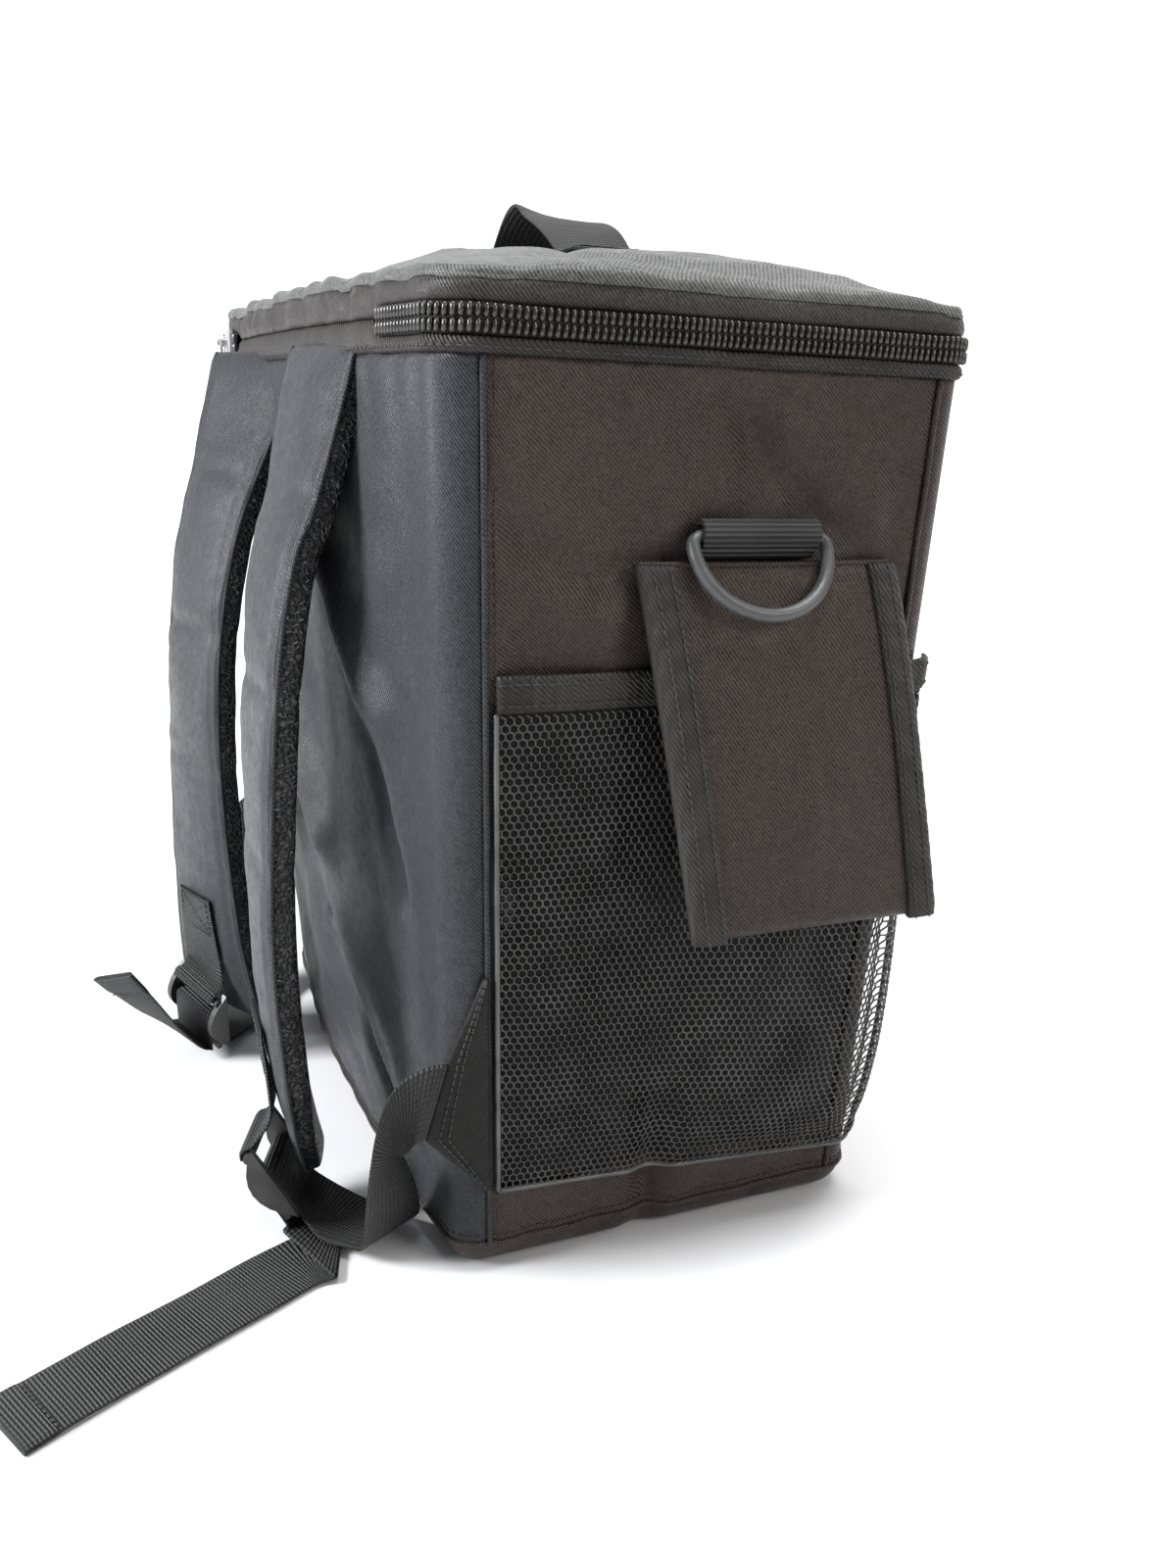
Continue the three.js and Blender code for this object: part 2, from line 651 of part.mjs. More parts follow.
// How far the ring tips out to lie on the pouch, in degrees.
function leanOnPouch() {
  const leans = steps(0, 1, 6).map((t) => {
    const z = mix(pouchTop, ringHeight - ringDrop, t);
    const v = (pouchTop - z) / pouchHeight;
    const front = pouchRest(v) + 2 * pouchThick + pouchHollow(0.5, v);
    const wire = 1.15 * ringWire / 2 + gap;
    return THREE.MathUtils.radToDeg(Math.atan2(front + wire - barOut, ringHeight - z));
  });
  return Math.max(ringLean, ...leans);
}

function addPouch() {
  const down = steps(0, 1, 6);
  const up = down.slice().reverse();
  const inside = (v) => Math.min(v, 1 - pouchThick / pouchHeight);
  const rings = steps(0, 1, 6).map((u) => {
    const front = (v) => 2 * pouchThick + pouchHollow(u, v);
    return [
      ...down.map((v) => pouchPoint(u, v, front(v))),
      ...up.map((v) => pouchPoint(u, v, 0)),
      ...down.map((v) => pouchPoint(u, inside(v), pouchThick)),
      ...up.map((v) => pouchPoint(u, inside(v), front(v) - pouchThick)),
    ];
  });
  add('pouch_cloth', loft(rings), twill);
  for (const [name, edge, inward] of [['back', 0, 1], ['front', 1, -1]]) {
    const reach = inward * bindingWidth / pouchWidth;
    const skin = (bindingProud + gap) / pouchWidth;
    const tip = edge - inward * skin;
    const tuck = edge - inward * gap / pouchWidth;
    const strip = down.map((v) => {
      const front = (u) => 2 * pouchThick + pouchHollow(clamp(u, 0, 1), v) + 2 * gap;
      const inner = edge + reach;
      return [
        pouchPoint(inner, v, front(inner) + bindingProud),
        pouchPoint(edge + 0.4 * reach, v, front(edge + 0.4 * reach) + bindingProud),
        pouchPoint(tip, v, front(edge) + bindingProud),
        pouchPoint(tip, v, 0),
        pouchPoint(tuck, v, 0),
        pouchPoint(tuck, v, front(edge)),
        pouchPoint(edge + 0.4 * reach, v, front(edge + 0.4 * reach)),
        pouchPoint(inner, v, front(inner)),
      ];
    });
    add(`pouch_${name}_binding`, loft(strip), binding);
  }
}

// Shoulder straps. Rows run from the top seam to the lower end: up is a share of the
// body's height, out of padStandOff, side of strapSpread, full of the pad's thickness,
// and turn is the twist of its width direction in degrees.

const strapTables = {
  left: [
    { up: 0.989, out: 0.24, side: 0.97, turn: 10, full: 0.5 },
    { up: 0.937, out: 0.33, side: 0.98, turn: 9, full: 0.8 },
    { up: 0.88, out: 0.50, side: 1.02, turn: 7, full: 1 },
    { up: 0.814, out: 0.72, side: 1.06, turn: 4, full: 1 },
    { up: 0.729, out: 0.86, side: 1.11, turn: 2, full: 1 },
    { up: 0.614, out: 0.95, side: 1.16, turn: 0, full: 1 },
    { up: 0.5, out: 0.99, side: 1.19, turn: -4, full: 1 },
    { up: 0.386, out: 1.01, side: 1.24, turn: -9, full: 1 },
    { up: 0.271, out: 0.98, side: 1.31, turn: -14, full: 1 },
    { up: 0.171, out: 0.89, side: 1.39, turn: -18, full: 0.9 },
    { up: 0.077, out: 0.72, side: 1.48, turn: -22, full: 0.6 },
  ],
  right: [
    { up: 0.989, out: 0.28, side: 0.94, turn: 27, full: 0.5 },
    { up: 0.937, out: 0.48, side: 0.95, turn: 24, full: 0.8 },
    { up: 0.88, out: 0.70, side: 0.97, turn: 20, full: 1 },
    { up: 0.814, out: 0.89, side: 1.00, turn: 17, full: 1 },
    { up: 0.729, out: 1.04, side: 1.02, turn: 15, full: 1 },
    { up: 0.614, out: 1.15, side: 1.05, turn: 14, full: 1 },
    { up: 0.5, out: 1.18, side: 1.07, turn: 14, full: 1 },
    { up: 0.386, out: 1.18, side: 1.09, turn: 16, full: 1 },
    { up: 0.271, out: 1.15, side: 1.11, turn: 19, full: 1 },
    { up: 0.171, out: 1.10, side: 1.14, turn: 23, full: 0.9 },
    { up: 0.077, out: 1.00, side: 1.16, turn: 28, full: 0.6 },
  ],
};

const backY = (x, z) => onBody(placeOnBack(x), z, 0).y;

// The face where the strap's cloth and its spacer mesh meet, kept clear of the back panel.
function strapPlace(name, side, t) {
  const at = (what) => column(strapTables[name], what, t);
  const angle = THREE.MathUtils.degToRad(at('turn'));
  const w = vec(Math.cos(angle), Math.sin(angle), 0);
  const x = side * at('side') * strapSpread;
  const z = at('up') * bodyHeight;
  const full = at('full');
  const limits = [-1, -0.5, 0, 0.5, 1].map((a) => {
    const edge = a * padWidth / 2;
    return backY(x + edge * w.x, z) - full * padMesh - 2 * gap - edge * w.y;
  });
  return { p: vec(x, Math.min(-halfDepth - at('out') * padStandOff, ...limits), z), w, full };
}

function strapRow(name, side, t) {
  const { p, w, full } = strapPlace(name, side, t);
  const step = 0.02;
  const ahead = strapPlace(name, side, Math.min(t + step, 1)).p;
  const behind = strapPlace(name, side, Math.max(t - step, 0)).p;
  const n = ahead.sub(behind).cross(w).normalize();
  const at = (across, out) => p.clone()
    .addScaledVector(w, across * padWidth / 2)
    .addScaledVector(n, out);
  return { p, w, n, full, at };
}

const strapSteps = 16;
const padAcross = [-1, -0.6, 0, 0.6, 1];
const padCrown = (a, edge) => edge + (1 - edge) * (1 - a * a);

function addStrap(name, side) {
  const rows = steps(0, 1, strapSteps).map((t) => strapRow(name, side, t));
  const back = padAcross.slice().reverse();
  add(`${name}_strap_pad`, loft(rows.map(({ full, at }) => [
    ...padAcross.map((a) => at(a, gap / 2 + full * padFabric * padCrown(a, 0.4))),
    ...back.map((a) => at(a, gap / 2)),
  ])), twillBlue);
  add(`${name}_strap_mesh`, loft(rows.map(({ full, at }) => [
    ...back.map((a) => at(a, -gap / 2)),
    ...padAcross.map((a) => at(a, -gap / 2 - full * padMesh * padCrown(a, 0.75))),
  ])), spacer);
}

// Ladder-lock buckles. Each hangs in front of its strap's lower end: x, y and z place it
// from there, turn and dip aim its bars and tip leans its top outwards, in degrees.

const lockPlaces = {
  left: { x: 1, y: -14, z: 0, turn: -21.7, dip: 0, tip: 31.8 },
  right: { x: 4, y: -13, z: -1, turn: 27.9, dip: 14.5, tip: 11.2 },
};

const topBar = lockLength / 2 - lockBar / 2 - 1.5;
const middleBar = 0.5;
const lowBar = 2.5 - lockLength / 2;
const webRound = lockBar / 2 + gap + webThick / 2;

function lockFrame(name, side) {
  const { x, y, z, turn, dip, tip } = lockPlaces[name];
  const [turned, dipped, tipped] = [turn, dip, tip].map(THREE.MathUtils.degToRad);
  const level = vec(Math.cos(turned), Math.sin(turned), 0);
  const inward = vec(-Math.sin(turned), Math.cos(turned), 0);
  const up = vec(0, 0, 1);
  const b = level.clone().multiplyScalar(Math.cos(dipped)).addScaledVector(up, -Math.sin(dipped));
  const rise = level.clone().multiplyScalar(Math.sin(dipped)).addScaledVector(up, Math.cos(dipped));
  const a = rise.clone().multiplyScalar(Math.cos(tipped)).addScaledVector(inward, -Math.sin(tipped));
  const i = inward.clone().multiplyScalar(Math.cos(tipped)).addScaledVector(rise, Math.sin(tipped));
  const centre = strapPlace(name, side, 1).p.add(vec(x, y, z));
  const at = (out, high) => centre.clone().addScaledVector(i, out).addScaledVector(a, high);
  return { b, i, a, centre, at };
}

function addLock(name, side) {
  const plate = new THREE.Shape();
  plate.moveTo(lockBar, -lockLength / 2);
  plate.quadraticCurveTo(1.2 * lockBar, 0, lockBar, lockLength / 2);
  plate.quadraticCurveTo(-lockBow * 1.7, 0, lockBar, -lockLength / 2);
  const cheek = toSolid(new THREE.ExtrudeGeometry(plate, {
    depth: lockPlate, bevelEnabled: false, curveSegments: 8,
  }).applyMatrix4(new THREE.Matrix4().makeBasis(vec(0, 1, 0), vec(0, 0, 1), vec(1, 0, 0))));
  const half = lockWidth / 2;
  const bar = cylinderAlongX(lockBar / 2, lockWidth - lockPlate, 10);
  const lobe = new THREE.Shape();
  lobe.absellipse(0, 0, 0.3 * lockWidth, 0.12 * lockLength, 0, 2 * Math.PI, false);
  const thumb = toSolid(new THREE.ExtrudeGeometry(lobe, {
    depth: lockPlate - 0.5, bevelEnabled: false, curveSegments: 10,
  }).rotateX(Math.PI / 2).translate(0, 0.5, lowBar));
  const { b, i, a, centre } = lockFrame(name, side);
  const lock = add(`${name}_lock`, joined([
    cheek.translate([-half, 0, 0]),
    cheek.translate([half - lockPlate, 0, 0]),
    bar.translate([0, 0, topBar]),
    bar.translate([0, 0, middleBar]),
    block(0, -0.75, lowBar, lockWidth - lockPlate, lockPlate - 0.5, lockBar),
    thumb,
  ]), lockPlastic);
  lock.position.copy(centre);
  lock.quaternion.setFromRotationMatrix(new THREE.Matrix4().makeBasis(b, i, a));
}

// The short webbing sewn on the strap's face that holds the buckle's top bar.
function addStub(name, side) {
  const { b, at } = lockFrame(name, side);
  const onPad = steps(0, 1, strapSteps).slice(-4, -1).map((t) => {
    const row = strapRow(name, side, t);
    return { p: row.at(0, 2.5 * gap + row.full * padFabric + webThick / 2), w: row.w };
  });
  const over = [40, 85, 130, 175].map((degrees) => {
    const turn = THREE.MathUtils.degToRad(degrees);
    const round = 1.15 * webRound;
    return { p: at(round * Math.cos(turn), topBar + round * Math.sin(turn)), w: b };
  });
  const above = { p: at(1.8 * webRound, topBar + 1.9 * webRound), w: b };
  add(`${name}_lock_webbing`, ribbon([...onPad, above, ...over], webWidth, webThick), webbing);
}

// Triangular tabs sewn into the back side seams; webbing leaves their outer hem. Up is a
// share of tabHeight from its level, out of tabReach.

const tabTable = [
  { up: 0.516, out: 0.08 }, { up: 0.165, out: 0.62 }, { up: -0.187, out: 1 }, { up: -0.484, out: 0.08 },
];

function tabPoint(side, row, level) {
  const z = level + row.up * tabHeight;
  const p = onBody(side > 0 ? seamBack : 5 - seamBack, z, -gap);
  return p.add(vec(0, -row.out * tabReach, 0));
}

function addTab(name, side, level) {
  add(`${name}_tab`, loft(tabTable.map((row) => {
    const [seam, hem] = [tabPoint(side, { up: row.up, out: 0 }, level), tabPoint(side, row, level)];
    const proud = vec(side * tabThick, 0, 0);
    return [seam, hem, hem.clone().add(proud), seam.clone().add(proud)];
  })), twill);
}

// Webbing from a tab round the floor, through the buckle and on to its free end. Along is
// a share of the way from tab to buckle, out of webSlack, up of the tab's height; turn
// and dip aim the width direction, in degrees.

const webTables = {
  left: [
    { along: -0.019, out: 0.45, up: 1, turn: -77, dip: 77 },
    { along: 0.008, out: 0.80, up: 0.95, turn: 120, dip: 86 },
    { along: 0.045, out: 0.98, up: 0.87, turn: 135, dip: 67 },
    { along: 0.09, out: 0.95, up: 0.77, turn: 140, dip: 45 },
    { along: 0.14, out: 0.78, up: 0.66, turn: 139, dip: 24 },
    { along: 0.315, out: 0, up: 0.36, turn: 125, dip: 12 },
    { along: 0.475, out: -0.56, up: 0.12, turn: 118, dip: 0 },
    { along: 0.586, out: -0.59, up: 0.075, turn: 120, dip: 0 },
    { along: 0.761, out: -0.3, up: 0.075, turn: 126, dip: 0 },
  ],
  right: [
    { along: -0.02, out: 0.5, up: 1, turn: -103, dip: 77 },
    { along: 0.02, out: 1.14, up: 0.92, turn: 30, dip: 70 },
    { along: 0.09, out: 1.12, up: 0.72, turn: 45, dip: 38 },
    { along: 0.17, out: 0.7, up: 0.48, turn: 51, dip: 18 },
    { along: 0.25, out: 0.2, up: 0.22, turn: 58, dip: 8 },
    { along: 0.377, out: -0.37, up: 0.07, turn: 62, dip: 0 },
    { along: 0.585, out: -0.59, up: 0.04, turn: 53, dip: 0 },
    { along: 0.79, out: -0.3, up: 0.05, turn: 40, dip: 6 },
  ],
};

function aimed(turn, dip) {
  const [t, d] = [turn, dip].map(THREE.MathUtils.degToRad);
  return vec(Math.cos(t) * Math.cos(d), Math.sin(t) * Math.cos(d), -Math.sin(d));
}

const lockFoot = -lockLength / 2 - webThick / 2;

function webbingToLock(name, side, level) {
  const hemMiddle = tabPoint(side, tabTable[1], level).lerp(tabPoint(side, tabTable[2], level), 0.5);
  const hem = tabPoint(side, tabTable[2], level).sub(tabPoint(side, tabTable[1], level)).normalize();
  const from = hemMiddle.add(vec(side * tabThick / 2, -gap, 0));
  const { b, at } = lockFrame(name, side);
  const w = b.clone().multiplyScalar(-side);
  const to = at(webRound, lockFoot);
  const way = webTables[name].map(({ along, out, up, turn, dip }) => {
    const p = from.clone().lerp(to, along);
    return { p: vec(p.x, p.y - out * webSlack, Math.max(up * from.z, webThick)), w: aimed(turn, dip) };
  });
  const round = [
    { out: 1.15, high: -0.8 }, { out: 0.9, high: 0.75 }, { out: 0, high: 1.15 },
    { out: -0.9, high: 0.75 }, { out: -1.15, high: -0.8 },
  ].map(({ out, high }) => ({ p: at(out * webRound, middleBar + high * webRound), w }));
  return [{ p: from, w: hem }, ...way, { p: to, w }, ...round, { p: at(-1.3 * webRound, lockFoot), w }];
}

// The left tail turns back under itself on the floor and lies out to its end. X and y are
// shares of tailReach from the buckle, layer counts thicknesses above the floor.
const leftTailTable = [
  { x: 0.048, y: 0.097, layer: 3, turn: 139 },
  { x: 0.080, y: 0.108, layer: 2.6, turn: 122 },
  { x: 0.261, y: 0.166, layer: 1.4, fold: true },
  { x: 0.312, y: -0.011, layer: 0.7, turn: 204.8 },
  { x: 0.383, y: -0.160, layer: 0.9, turn: 204.8 },
  { x: 0.502, y: -0.414, layer: 0.75, turn: 204.8 },
  { x: 0.629, y: -0.677, layer: 1.0, turn: 203 },
  { x: 0.739, y: -0.897, layer: 0.8, turn: 206 },
];

// The right tail is stiff enough to stick out of its buckle: shares of tailStub from there.
const rightTailTable = [
  { x: 0.01, y: -0.19, z: -0.29, turn: 29, dip: 10 },
  { x: 0.02, y: -0.42, z: -0.08, turn: 31, dip: -2 },
  { x: 0.04, y: -0.65, z: 0.21, turn: 33, dip: -12 },
  { x: 0.04, y: -0.875, z: 0.50, turn: 34, dip: -21 },
];

function leftTail({ centre }) {
  return leftTailTable.map(({ x, y, layer, turn, fold }, i) => {
    const p = vec(centre.x + x * tailReach, centre.y + y * tailReach, layer * webThick + gap);
    if (!fold) return { p, w: aimed(turn, 0) };
    const before = aimed(leftTailTable[i - 1].turn, 0);
    const crease = before.clone().add(aimed(leftTailTable[i + 1].turn, 0)).normalize();
    return { p, w: crease, n: vec(crease.y, -crease.x, 0), stretch: 1 / before.dot(crease) };
  });
}

function rightTail({ centre }) {
  return rightTailTable.map(({ x, y, z, turn, dip }) => ({
    p: centre.clone().addScaledVector(vec(x, y, z), tailStub), w: aimed(turn, dip),
  }));
}

function addWebbing(name, side, level, tail) {
  const rows = [...webbingToLock(name, side, level), ...tail(lockFrame(name, side))];
  add(`${name}_webbing`, ribbon(rows, webWidth, webThick), webbing);
}

addBody();
addTop();
addHandle();
addSlider('a', placeOnBack(zipEndRight - halfWidth - 0.9 * sliderLength), 0);
addSlider('b', 5.5, -45);
addRing('left', 1, leanOnPouch());
addRing('right', -1, ringLean);
addPocket('left', 1);
addPocket('right', -1);
addPouch();
for (const [name, side, level, tail] of [
  ['left', 1, tabLevel, leftTail],
  ['right', -1, tabLevel + tabRaise, rightTail],
]) {
  addStrap(name, side);
  addLock(name, side);
  addStub(name, side);
  addTab(name, side, level);
  addWebbing(name, side, level, tail);
}

export default root;
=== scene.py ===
import math

import bpy
import numpy as np
from mathutils import Matrix


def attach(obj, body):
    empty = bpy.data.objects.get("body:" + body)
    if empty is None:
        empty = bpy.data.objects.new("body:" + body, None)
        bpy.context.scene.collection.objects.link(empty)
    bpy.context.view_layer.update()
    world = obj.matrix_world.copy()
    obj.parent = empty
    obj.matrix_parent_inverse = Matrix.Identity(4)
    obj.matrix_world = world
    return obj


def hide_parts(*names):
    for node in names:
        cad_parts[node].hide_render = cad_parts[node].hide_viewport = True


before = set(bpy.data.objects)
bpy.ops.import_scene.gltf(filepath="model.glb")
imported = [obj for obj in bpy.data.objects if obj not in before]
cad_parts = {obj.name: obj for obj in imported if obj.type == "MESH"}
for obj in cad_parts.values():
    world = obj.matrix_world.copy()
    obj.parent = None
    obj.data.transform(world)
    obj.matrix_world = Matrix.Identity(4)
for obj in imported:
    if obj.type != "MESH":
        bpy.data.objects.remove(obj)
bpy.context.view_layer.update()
pi = math.pi

# Points are in millimetres until mesh() scales them; lights, planes and looks are in metres.
# s is a place round the body's outline: 0-1 left side, 2-3 front, 4-5 right side, 6-7 back,
# with the corners between.

HW, HD, TALL, CORNER = 165.0, 104.0, 350.0, 14.0  # half width, half depth, height, radius
TAPER_X, TAPER_Y, LEAN = 8, 11, 16  # narrower foot, and lean of the rear right corner
SIDE_RUN, BACK_RUN = 180, 302       # flat length between the corners
SEAM = 1 / SIDE_RUN
BACK_FOLDS =[(.06, .90, .36, .62, .09, .42), (.36, .62, .43, .28, .08, .30),
              (-.16, .77, .11, .42, .08, .34), (-.10, .40, .14, .16, .07, -.28),
              (.24, .88, .44, .68, .10, .30)]
SIDE_DENTS = [(.02, .97, .26, .84, .10, -.8), (.34, .96, .30, .70, .12, .6),
              (-.20, .94, -.30, .70, .16, .5), (-.05, .17, -.06, .03, .08, -.9)]

# Height, width and polyline of the finer creases, in x or y and z, and in x and y on the lid.

BACK_CREASES = [(4.2, 13, [(20, 311), (60, 268), (114, 219), (135, 160), (143, 101)]),
                (3.6, 12, [(-52, 267), (-10, 205), (37, 150)]),
                (-3.4, 9, [(52, 255), (100, 205), (120, 150)]),
                (-4.2, 6, [(8, 100), (30, 92), (70, 66), (96, 44)]),
                (2.2, 12, [(30, 120), (80, 95), (120, 50)]),
                (-1.6, 7, [(-20, 70), (25, 42), (62, 30)])]
SIDE_CREASES = [(-2.4, 9, [(3, 346), (22, 318), (53, 292)]),
                (-1.5, 7, [(-44, 346), (-38, 322)]), (-1.5, 7, [(64, 346), (60, 318)]),
                (1.3, 10, [(-14, 300), (-40, 262)]), (1.2, 10, [(44, 300), (72, 262)]),
                (-1.8, 5, [(-8, 12), (-9, 60)]), (1.3, 7, [(-8, 14), (30, 34), (56, 24)]),
                (-2.2, 10, [(-80, 300), (-50, 276), (-20, 284)]),
                (1.6, 9, [(60, 330), (76, 250)])]
LID_CREASES = [(-3.8, 15, [(132, -58), (98, -32), (70, -6)]),
               (1.6, 13, [(60, -70), (10, -52), (-50, -60)]),
               (-1.8, 12, [(-40, 60), (20, 48), (86, 66)]),
               (-1.2, 9, [(61, 40), (75, 0), (61, -38)]),
               (1.5, 11, [(138, -60), (146, 0), (140, 60)])]


def smooth(t):
    t = np.clip(t, 0, 1)
    return t * t * (3 - 2 * t)


def hump(t):
    return np.sin(pi * np.clip(t, 0, 1))


def folds(table, u, v):
    total = 0
    for u0, v0, u1, v1, wide, high in table:
        du, dv = u1 - u0, v1 - v0
        t = np.clip(((u - u0) * du + (v - v0) * dv) / (du * du + dv * dv), 0, 1)
        total = total + high * smooth(1 - np.hypot(u - u0 - du * t, v - v0 - dv * t) / wide)
    return total


def lumps(u, v, size, seed, count=9):
    """Slow random swell of about -1 to 1 over a surface; size is its wavelength."""
    r = np.random.default_rng(seed)
    total = 0
    for _ in range(count):
        a, k, f = r.uniform(0, 2 * pi), 2 * pi / (size * r.uniform(.7, 1.6)), r.uniform(0, 2 * pi)
        total = total + np.cos(k * (u * math.cos(a) + v * math.sin(a)) + f)
    return total / count ** .5


def ridge(x, z, points, wide):
    """1 on a polyline, falling smoothly to 0 at the distance wide."""
    best = 1e9
    for (x0, z0), (x1, z1) in zip(points, points[1:]):
        dx, dz = x1 - x0, z1 - z0
        t = np.clip(((x - x0) * dx + (z - z0) * dz) / (dx * dx + dz * dz), 0, 1)
        best = np.minimum(best, np.hypot(x - x0 - dx * t, z - z0 - dz * t))
    return np.exp(-(best / wide) ** 2 * 2)


def ridges(x, z, table):
    return sum(high * ridge(x, z, points, wide) for high, wide, points in table)


def on_body(s, z, out=0.0):
    """Points at place s and height z, out from the body's surface."""
    s, z, out = np.broadcast_arrays(np.asarray(s, float), np.asarray(z, float), out)
    place = np.mod(s, 8)
    side = np.floor(place).astype(int)
    t = place - side
    up = np.clip(z / TALL, 0, 1)
    lx = HW - TAPER_X * (1 - up) - CORNER
    ly = HD - TAPER_Y * (1 - up) - CORNER
    across = 4 * t * (1 - t)
    y = np.where(side == 0, t - .5, .5 - t)
    swell = np.select(
        [side == 6, side == 2, (side == 0) | (side == 4)],
        [15 * across * (.5 + .5 * hump(up) + folds(BACK_FOLDS, t - .5, up) * hump(up)),
         6 * across * hump(up),
         4 * across * (folds(SIDE_DENTS, y, up) - .6 * hump(up))], 0)
    angle = pi / 2 * np.where(side % 2 == 1, (side - 1) / 2 + t, side / 2)
    cx = np.choose(side, [lx, lx, lx - 2 * lx * t, -lx, -lx, -lx, -lx + 2 * lx * t, lx])
    cy = np.choose(side, [-ly + 2 * ly * t, ly, ly, ly, ly - 2 * ly * t, -ly, -ly, -ly])
    reach = CORNER + swell + out
    x, y = cx + np.cos(angle) * reach, cy + np.sin(angle) * reach
    share = np.clip(.5 - x / (2 * HW), 0, 1) * np.clip(.5 - y / (2 * HD), 0, 1)
    return np.stack([x, y - LEAN * share * np.maximum(z, 0) / TALL, z], -1)


def on_back(x):
    """The place s of x on the back panel."""
    return 6 + (x + HW - CORNER) / BACK_RUN


def creases(s, z):
    """Folds, puckers and slack of the body's cloth that are finer than the frame's."""
    p = on_body(s, z)
    x, y = p[..., 0], p[..., 1]
    side = np.floor(np.mod(s, 8))
    t = np.mod(s, 1)
    below = TALL - z
    edge = np.minimum(smooth(t / .07), smooth((1 - t) / .07)) * smooth(z / 26) * smooth(below / 16)
    top = np.exp(-below / 13) * smooth(below / 4)
    back = ridges(x, z, BACK_CREASES) - 2.6 * np.exp(-((x - 108.7) / 15) ** 2 - ((z - 217) / 18) ** 2)
    back = back + .9 * lumps(x, z, 85, 3) + .35 * lumps(x, z, 34, 5)
    back = edge * back + 1.0 * top * np.sin(x / 3.6 + 1.4 * lumps(x, z, 60, 8))
    flank = ridges(y, z, SIDE_CREASES) + 1.3 * lumps(y, z, 70, 13) + .4 * lumps(y, z, 26, 17)
    flank = 1.35 * edge * flank + .9 * top * np.sin(y / 3.3 + 1.6 * lumps(y, z, 50, 19))
    front = edge * (1.2 * lumps(x, z, 90, 23) + .4 * lumps(x, z, 35, 29))
    front = front + .8 * top * np.sin(x / 4)
    foot = .5 * smooth(z / 14) * np.exp(-z / 22) * np.sin((x + y) / 4.1)
    parts = [side == 6, (side == 0) | (side == 4), side == 2]
    return np.select(parts, [back, flank, front], 0) + foot


def body_cloth(s, z, out=0.0):
    return on_body(s, z, creases(s, z) + out)


# Mesh helpers

def mesh(name, points, faces, look, uv=None, body="bag", over=()):
    data = bpy.data.meshes.new(name)
    points = np.asarray(points, float).reshape(-1, 3) * .001
    data.from_pydata(points.tolist(), [], [list(map(int, f)) for f in faces])
    if uv is not None:
        layer = data.uv_layers.new(name="UVMap")
        corner = np.empty(len(data.loops), np.int32)
        data.loops.foreach_get("vertex_index", corner)
        layer.data.foreach_set("uv", (np.asarray(uv, float).reshape(-1, 2) * .001)[corner].ravel())
    data.materials.append(look)
    data.polygons.foreach_set("use_smooth", [True] * len(data.polygons))
    data.update()
    obj = bpy.data.objects.new(name, data)
    bpy.context.scene.collection.objects.link(obj)
    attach(obj, body)
    if over:
        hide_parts(*over)
    return obj


def lengths(grid, axis):
    step = np.linalg.norm(np.diff(grid, axis=axis), axis=-1)
    zero = np.zeros_like(np.take(step, [0], axis))
    return np.cumsum(np.concatenate([zero, step], axis), axis)


def sheet_mesh(name, grid, look, thick=0.0, flip=False, loop=False, **more):
    """A grid of points as a cloth; thick goes inwards. uv is the length across and along."""
    rows, cols = grid.shape[:2]
    if loop:
        grid = np.concatenate([grid, grid[:1]])
        rows += 1
    i, j = np.meshgrid(np.arange(rows - 1), np.arange(cols - 1), indexing="ij")
    a = (i * cols + j).ravel()
    faces = np.stack([a, a + cols, a + cols + 1, a + 1], -1)
    if flip:
        faces = faces[:, ::-1]
    along = np.broadcast_to(lengths(grid, 0).mean(1, keepdims=True), (rows, cols))
    uv = np.stack([lengths(grid, 1), along], -1)
    obj = mesh(name, grid, faces, look, uv, **more)
    if loop:
        weld = obj.modifiers.new("weld", "WELD")
        weld.merge_threshold = 1e-5
    if thick:
        shell = obj.modifiers.new("cloth", "SOLIDIFY")
        shell.thickness, shell.offset = thick * .001, -1
    return obj


def loft(name, rings, look, closed=False, **more):
    """Closed cross-sections along a path, capped unless the path is closed."""
    n, k = rings.shape[:2]
    i, j = np.meshgrid(np.arange(n if closed else n - 1), np.arange(k), indexing="ij")
    i, j = i.ravel(), j.ravel()
    ahead, over = (i + 1) % n, (j + 1) % k
    faces = np.stack([i * k + j, ahead * k + j, ahead * k + over, i * k + over], -1).tolist()
    if not closed:
        faces += [list(range(k)), list(range(n * k - 1, (n - 1) * k - 1, -1))]
    middle = rings[n // 2].mean(0)
    a, b = rings[n // 2, 0] - middle, rings[n // 2, 1] - middle
    if np.dot(np.cross(a, b), rings[min(n // 2 + 1, n - 1)].mean(0) - middle) > 0:
        faces = [f[::-1] for f in faces]
    across = lengths(np.concatenate([rings, rings[:, :1]], 1), 1)[:, :k]
    along = np.broadcast_to(lengths(rings, 0).mean(1, keepdims=True), (n, k))
    return mesh(name, rings, faces, look, np.stack([across, along], -1), **more)


def circles(ways, sides):
    """For each way a ring of unit vectors across it."""
    up = np.where(np.abs(ways[:, 2:3]) > .9, [[1., 0, 0]], [[0, 0, 1.]])
    a = np.cross(ways, up)
    a /= np.linalg.norm(a, axis=1, keepdims=True) + 1e-9
    b = np.cross(ways, a)
    turn = np.linspace(0, 2 * pi, sides, endpoint=False)
    return np.cos(turn)[None, :, None] * a[:, None] + np.sin(turn)[None, :, None] * b[:, None]


